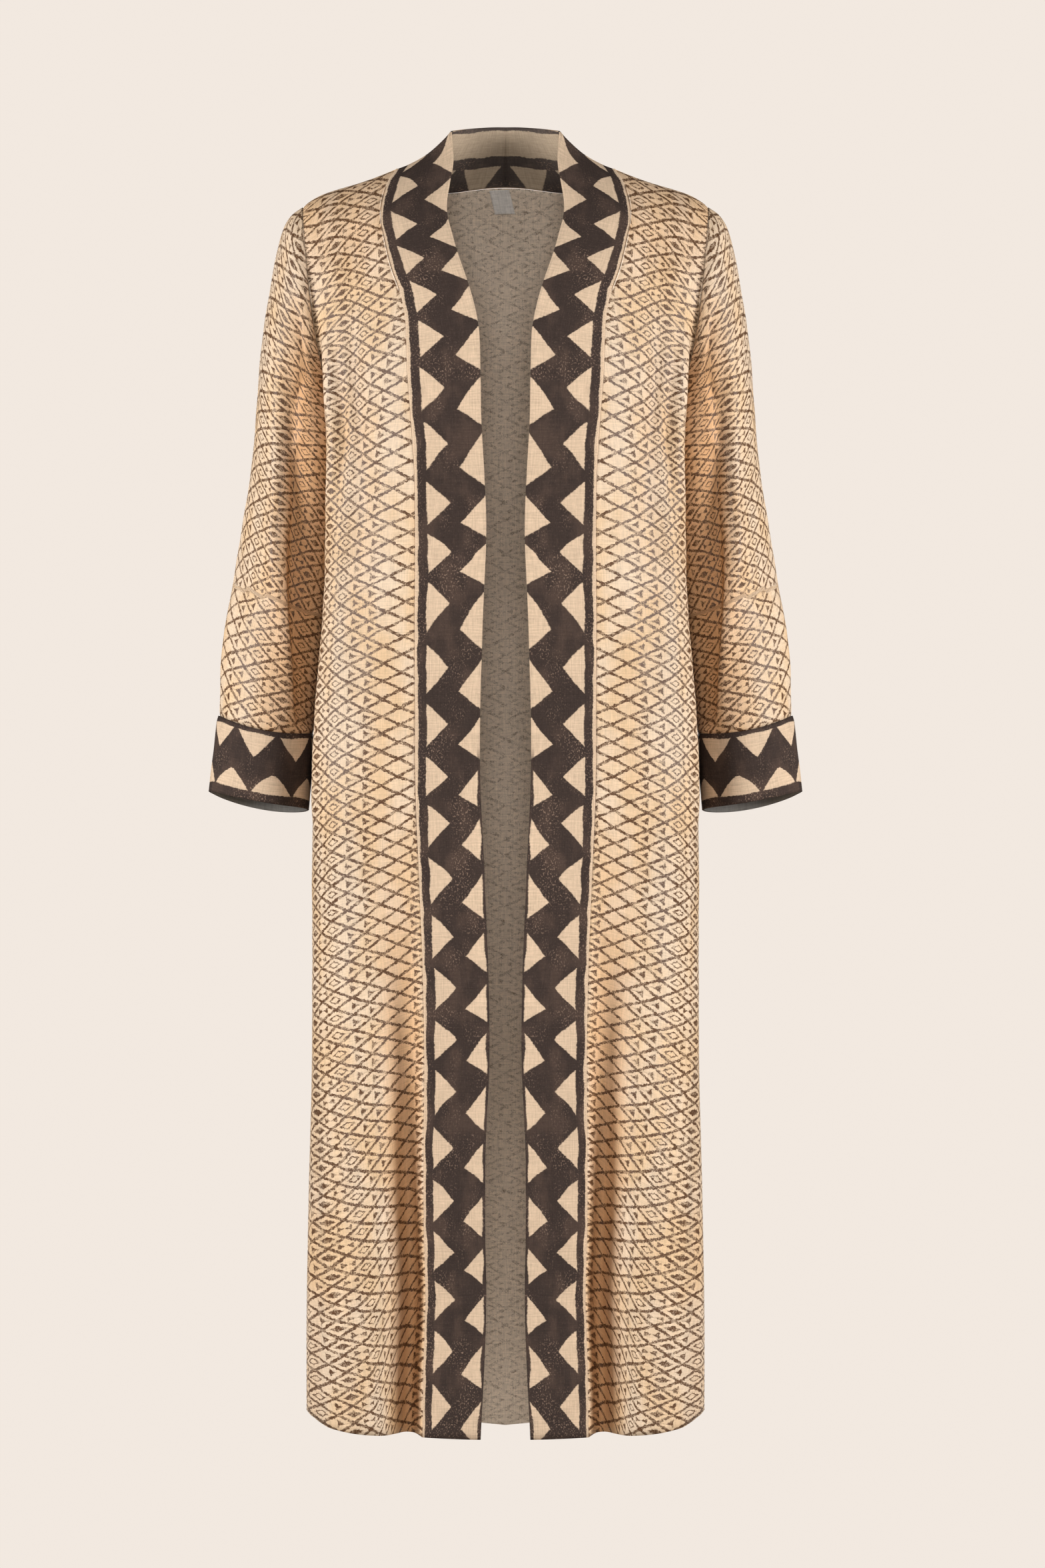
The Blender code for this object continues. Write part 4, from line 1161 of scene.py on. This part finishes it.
def sewn_at(values, shift=0.0):
    """Values on the line of stitches at each stitch, or a shift along from it."""
    return np.stack([np.interp(stitch_at + shift, sewn_length, values[:, k]) for k in range(3)], axis=-1)


stitch_spot = sewn_at(stitch_line)
stitch_way = unit(sewn_at(stitch_line, STITCH_PITCH) - sewn_at(stitch_line, -STITCH_PITCH))
stitch_up = unit(sewn_at(on_stitches(band_out)))


def stitching(name, mirror):
    """A row of stitches in one mesh, each a small rounded stroke of thread."""
    sewn = bmesh.new()
    for spot, way, up in zip(stitch_spot * mirror, stitch_way * mirror, stitch_up * mirror):
        axes = joined(way, np.cross(up, way), up) * STITCH_SIZE / 2
        stroke = Matrix(np.vstack([np.column_stack([axes, spot]), [0.0, 0.0, 0.0, 1.0]]).tolist())
        bmesh.ops.create_icosphere(sewn, subdivisions=1, radius=1.0, matrix=stroke)
    for face in sewn.faces:
        face.smooth = True
    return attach(made_of(name, sewn, thread), "root")


for side, mirror in SIDES.items():
    band_cloth = sheet_of_cloth(
        "band_cloth_" + side, band * mirror, band_out * mirror, band_charts, BAND_THICK,
        (border, border_facing))
    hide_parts("band_" + side)
    stitches = stitching("band_stitching_" + side, mirror)


# Cuffs: a straight piece of border print with triangles from its upper and lower edges, folded double and
# sewn round the end of each sleeve, so that its folded edge is the opening for the hand.
CUFF = table(
    "share out_x out_y out_z in_x in_y in_z front_y back_y lead tilt dip",
    (0, 0.2788, -0.006, -0.5335, 0.187, -0.006, -0.551, -0.06, 0.048, 1, 0, 0.006),
    (0.5, 0.2832, -0.0075, -0.5705, 0.1892, -0.0075, -0.588, -0.062, 0.047, 1, 0.04, 0.005),
    (1, 0.2881, -0.009, -0.6075, 0.1925, -0.009, -0.625, -0.0645, 0.0465, 1, 0.08, 0.0045),
)
CUFF_RINGS = 24
CUFF_STEP = 0.0009
CUFF_THICK = 0.0020
CUFF_UNEVEN_FROM = 0.3
CUFF_REPEATS = 7
CUFF_START = -0.09
CUFF_DEPTH = 74.0

cuff = rings(CUFF, np.linspace(0, 1, CUFF_RINGS + 1)[:, None], sleeve_angles)
cuff_out = facing(cuff, -1, closed=True)
cuff = cuff + cuff_out * CUFF_STEP
cuff_reach, in_front = ring_reach(cuff)
cuff_down = from_first(cuff)
cuff_across = np.where(in_front, cuff_reach, -cuff_reach)
cuff_lift = uneven(cuff_across, cuff_down + CUFF_UNEVEN_FROM) + dipped(cuff_down)
cuff = cuff + cuff_out * cuff_lift[..., None]
whole_round = 2 * cuff_reach.max(axis=1, keepdims=True)
cuff_round = np.where(in_front, cuff_reach, whole_round - cuff_reach)
cuff_round = np.concatenate([cuff_round, whole_round], axis=1)
cuff_down = closed_round(cuff_down)
repeats = np.broadcast_to(np.linspace(0, CUFF_REPEATS, AROUND + 1), cuff_down.shape)
cuff_charts = {
    "cloth": joined(cuff_round, cuff_down),
    "repeat": joined(repeats, cuff_down / cuff_down[-1:] * CUFF_DEPTH / MM),
}

# The cuff's block: triangles that hang from below the seam and others that stand on a line above the fold
HANGING_FROM = 5.0
HANGING_TIP = 29.0
HANGING_TALL = 24.0
STANDING_FOOT = 9.0
STANDING_TIP = 30.5
STANDING_TALL = 21.5
STANDING_CUT = 29.0


def upright(turn, from_tip, tall, half, bow):
    """How far inside an upright triangle a place lies, in millimetres; its two sides bow outwards."""
    aside = abs(turn % 1.0 - 0.5)
    up = from_tip * (1.0 / tall)
    return ((up * (1.0 + bow) - up * up * bow) * half - aside) * REPEAT_MM


repeat, cloth, out = open_group("cuff_print", "Repeat Cloth", "Outside")
place = unsteady(repeat, cloth, close=380.0, reach=(0.030, 0.0016), detail=2.0)
turn, deep = parts_of(unsteady(place, cloth, close=30.0, reach=(0.080, 0.0040)))
turn = turn + CUFF_START
deep = deep * MM
hanging = upright(turn, deep.less_from(HANGING_TIP), HANGING_TALL, half=0.43, bow=0.20)
hanging = hanging.least(deep - HANGING_FROM).over(0.0, PRINT_SOFT)
from_tip = deep - (CUFF_DEPTH - STANDING_TIP)
standing = upright(turn + 0.5, from_tip, STANDING_TALL, half=0.46, bow=0.45)
standing = standing.least(deep.less_from(CUFF_DEPTH - STANDING_FOOT))
standing = standing.least(deep - (CUFF_DEPTH - STANDING_CUT)).over(0.0, PRINT_SOFT)
feed(out, Outside=hanging.most(standing))

CUFF_GREY = (0.200, 0.190, 0.175, 1.0)
CUFF_GREY_DARK = (0.150, 0.143, 0.132, 1.0)
cuff_cotton = border_finish("cuff_cotton", "cuff_print", "Outside", PALE, DARK, DARK_FADED)
cuff_inside, shader = new_finish("cuff_cotton_inside", roughness=0.9)
chart = chart_of(shader)
woven(shader, chart, mixed(grain(chart, 40.0, 40.0, detail=2.0), CUFF_GREY, CUFF_GREY_DARK), depth=0.0004)
for side, mirror in SIDES.items():
    cuff_cloth = sheet_of_cloth(
        "cuff_cloth_" + side, closed_round(cuff) * mirror, closed_round(cuff_out) * mirror, cuff_charts,
        CUFF_THICK, (cuff_cotton, cuff_inside), closed=True)
    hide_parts("cuff_" + side)


# Neck label: a short blank tape of pale satin weave, sewn in under the neck band at the centre back. It
# hangs a little askew against the inside of the back panel.
LABEL_WIDTH = 0.0200
LABEL_LENGTH = 0.0260
LABEL_DROP = 0.0008
LABEL_SLANT = 0.22
LABEL_X = -0.0062
LABEL_GAP = 0.0014
LABEL_THICK = 0.0005
LABEL_COLUMNS = 12
LABEL_ROWS = 16
LABEL_PANEL_ROWS = 30
TAPE = (0.830, 0.800, 0.760, 1.0)
TAPE_SHADE = (0.730, 0.695, 0.650, 1.0)

lining = back[:LABEL_PANEL_ROWS] - back_out[:LABEL_PANEL_ROWS] * (CLOTH + LABEL_GAP)
below_neck = length_along(lining[:, NECK_COLUMNS + PANEL_COLUMNS])
label = np.zeros((LABEL_ROWS + 1, LABEL_COLUMNS + 1, 3))
label_chart = np.zeros((LABEL_ROWS + 1, LABEL_COLUMNS + 1, 2))
for i, share in enumerate(np.linspace(0, 1, LABEL_ROWS + 1)):
    drop = LABEL_DROP + share * LABEL_LENGTH
    level_line = np.array([
        [np.interp(drop, below_neck, lining[:, c, k]) for k in range(3)] for c in range(lining.shape[1])])
    for j, beside in enumerate(np.linspace(-0.5, 0.5, LABEL_COLUMNS + 1)):
        x = LABEL_X + beside * LABEL_WIDTH + share * LABEL_LENGTH * LABEL_SLANT
        label[i, j] = [np.interp(x, level_line[:, 0], level_line[:, k]) for k in range(3)]
        label_chart[i, j] = beside * LABEL_WIDTH, drop
label_in = facing(label, 1)
label_in = label_in * np.where(label_in[..., 1:2] < 0, 1.0, -1.0)
tape, shader = new_finish("label_tape")
chart = chart_of(shader)
woven(shader, chart, mixed(grain(chart, 300.0, 2400.0), TAPE, TAPE_SHADE), depth=0.0002)
label_cloth = sheet_of_cloth("label_tape", label, label_in, {"cloth": label_chart}, LABEL_THICK, (tape, tape))
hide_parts("neck_label")


# Studio: a plain pale floor that runs on into an even backdrop of the same tone, two large soft lights at the
# sides, a weaker one in front and a broad one behind, and a camera level with the middle of the coat.
FLOOR_Z = -1.45
FLOOR_HALF = 30.0
PAPER = (0.360, 0.330, 0.300, 1.0)
BACKDROP = (0.887, 0.812, 0.745, 1.0)
FILL = (1.0, 0.97, 0.94, 1.0)
FILL_STRENGTH = 0.08
COAT_MIDDLE = Vector((0.0, 0.0, -0.60))
CAMERA_AWAY = 4.5
FRAME_HEIGHT = 1.5288
FRAME_SHIFT = 25.5 / 2352
SENSOR = 36.0
scene = bpy.context.scene


def shown_even(lit, kind, output):
    """The backdrop's even tone shown to the camera alone, where light falls on something else."""
    tree = lit.id_data
    even = tree.nodes.new(kind)
    feed(even, Color=BACKDROP)
    seen = tree.nodes.new("ShaderNodeLightPath")
    either = tree.nodes.new("ShaderNodeMixShader")
    tree.links.new(seen.outputs["Is Camera Ray"], either.inputs["Fac"])
    tree.links.new(lit.outputs[0], either.inputs[1])
    tree.links.new(even.outputs[0], either.inputs[2])
    tree.links.new(either.outputs["Shader"], tree.nodes[output].inputs["Surface"])


paper, shader = new_finish("studio_paper", roughness=0.95, specular=0.1)
feed(shader, Base_Color=PAPER)
shown_even(shader, "ShaderNodeEmission", "Material Output")
flat = bmesh.new()
bmesh.ops.create_grid(flat, x_segments=1, y_segments=1, size=FLOOR_HALF)
bmesh.ops.translate(flat, verts=flat.verts, vec=(0.0, 0.0, FLOOR_Z))
made_of("studio_floor", flat, paper)

for name, spot, size, power in (
        ("soft_left", (-3.2, -1.6, 0.15), 1.6, 142.0),
        ("soft_right", (3.2, -1.6, 0.15), 1.6, 142.0),
        ("soft_front", (0.0, -4.7, -0.10), 1.4, 58.0),
        ("soft_back", (0.0, 4.7, 0.20), 2.4, 150.0)):
    lamp = bpy.data.lights.new(name, "AREA")
    lamp.shape = "DISK"
    lamp.size = size
    lamp.energy = power
    light = bpy.data.objects.new(name, lamp)
    light.location = spot
    light.visible_camera = False
    light.rotation_euler = (COAT_MIDDLE - Vector(spot)).to_track_quat("-Z", "Y").to_euler()
    scene.collection.objects.link(light)
world = bpy.data.worlds.new("studio")
scene.world = world
world.use_nodes = True
fill = world.node_tree.nodes["Background"]
feed(fill, Color=FILL, Strength=FILL_STRENGTH)
shown_even(fill, "ShaderNodeBackground", "World Output")
scene.view_settings.view_transform = "Standard"

camera_data = bpy.data.cameras.new("camera")
camera_data.sensor_width = SENSOR
camera_data.lens = SENSOR * CAMERA_AWAY / FRAME_HEIGHT
camera_data.shift_x = FRAME_SHIFT
camera = bpy.data.objects.new("camera", camera_data)
camera.location = (0.0, -CAMERA_AWAY, COAT_MIDDLE.z)
camera.rotation_euler = (math.pi / 2, 0.0, 0.0)
scene.collection.objects.link(camera)
scene.camera = camera
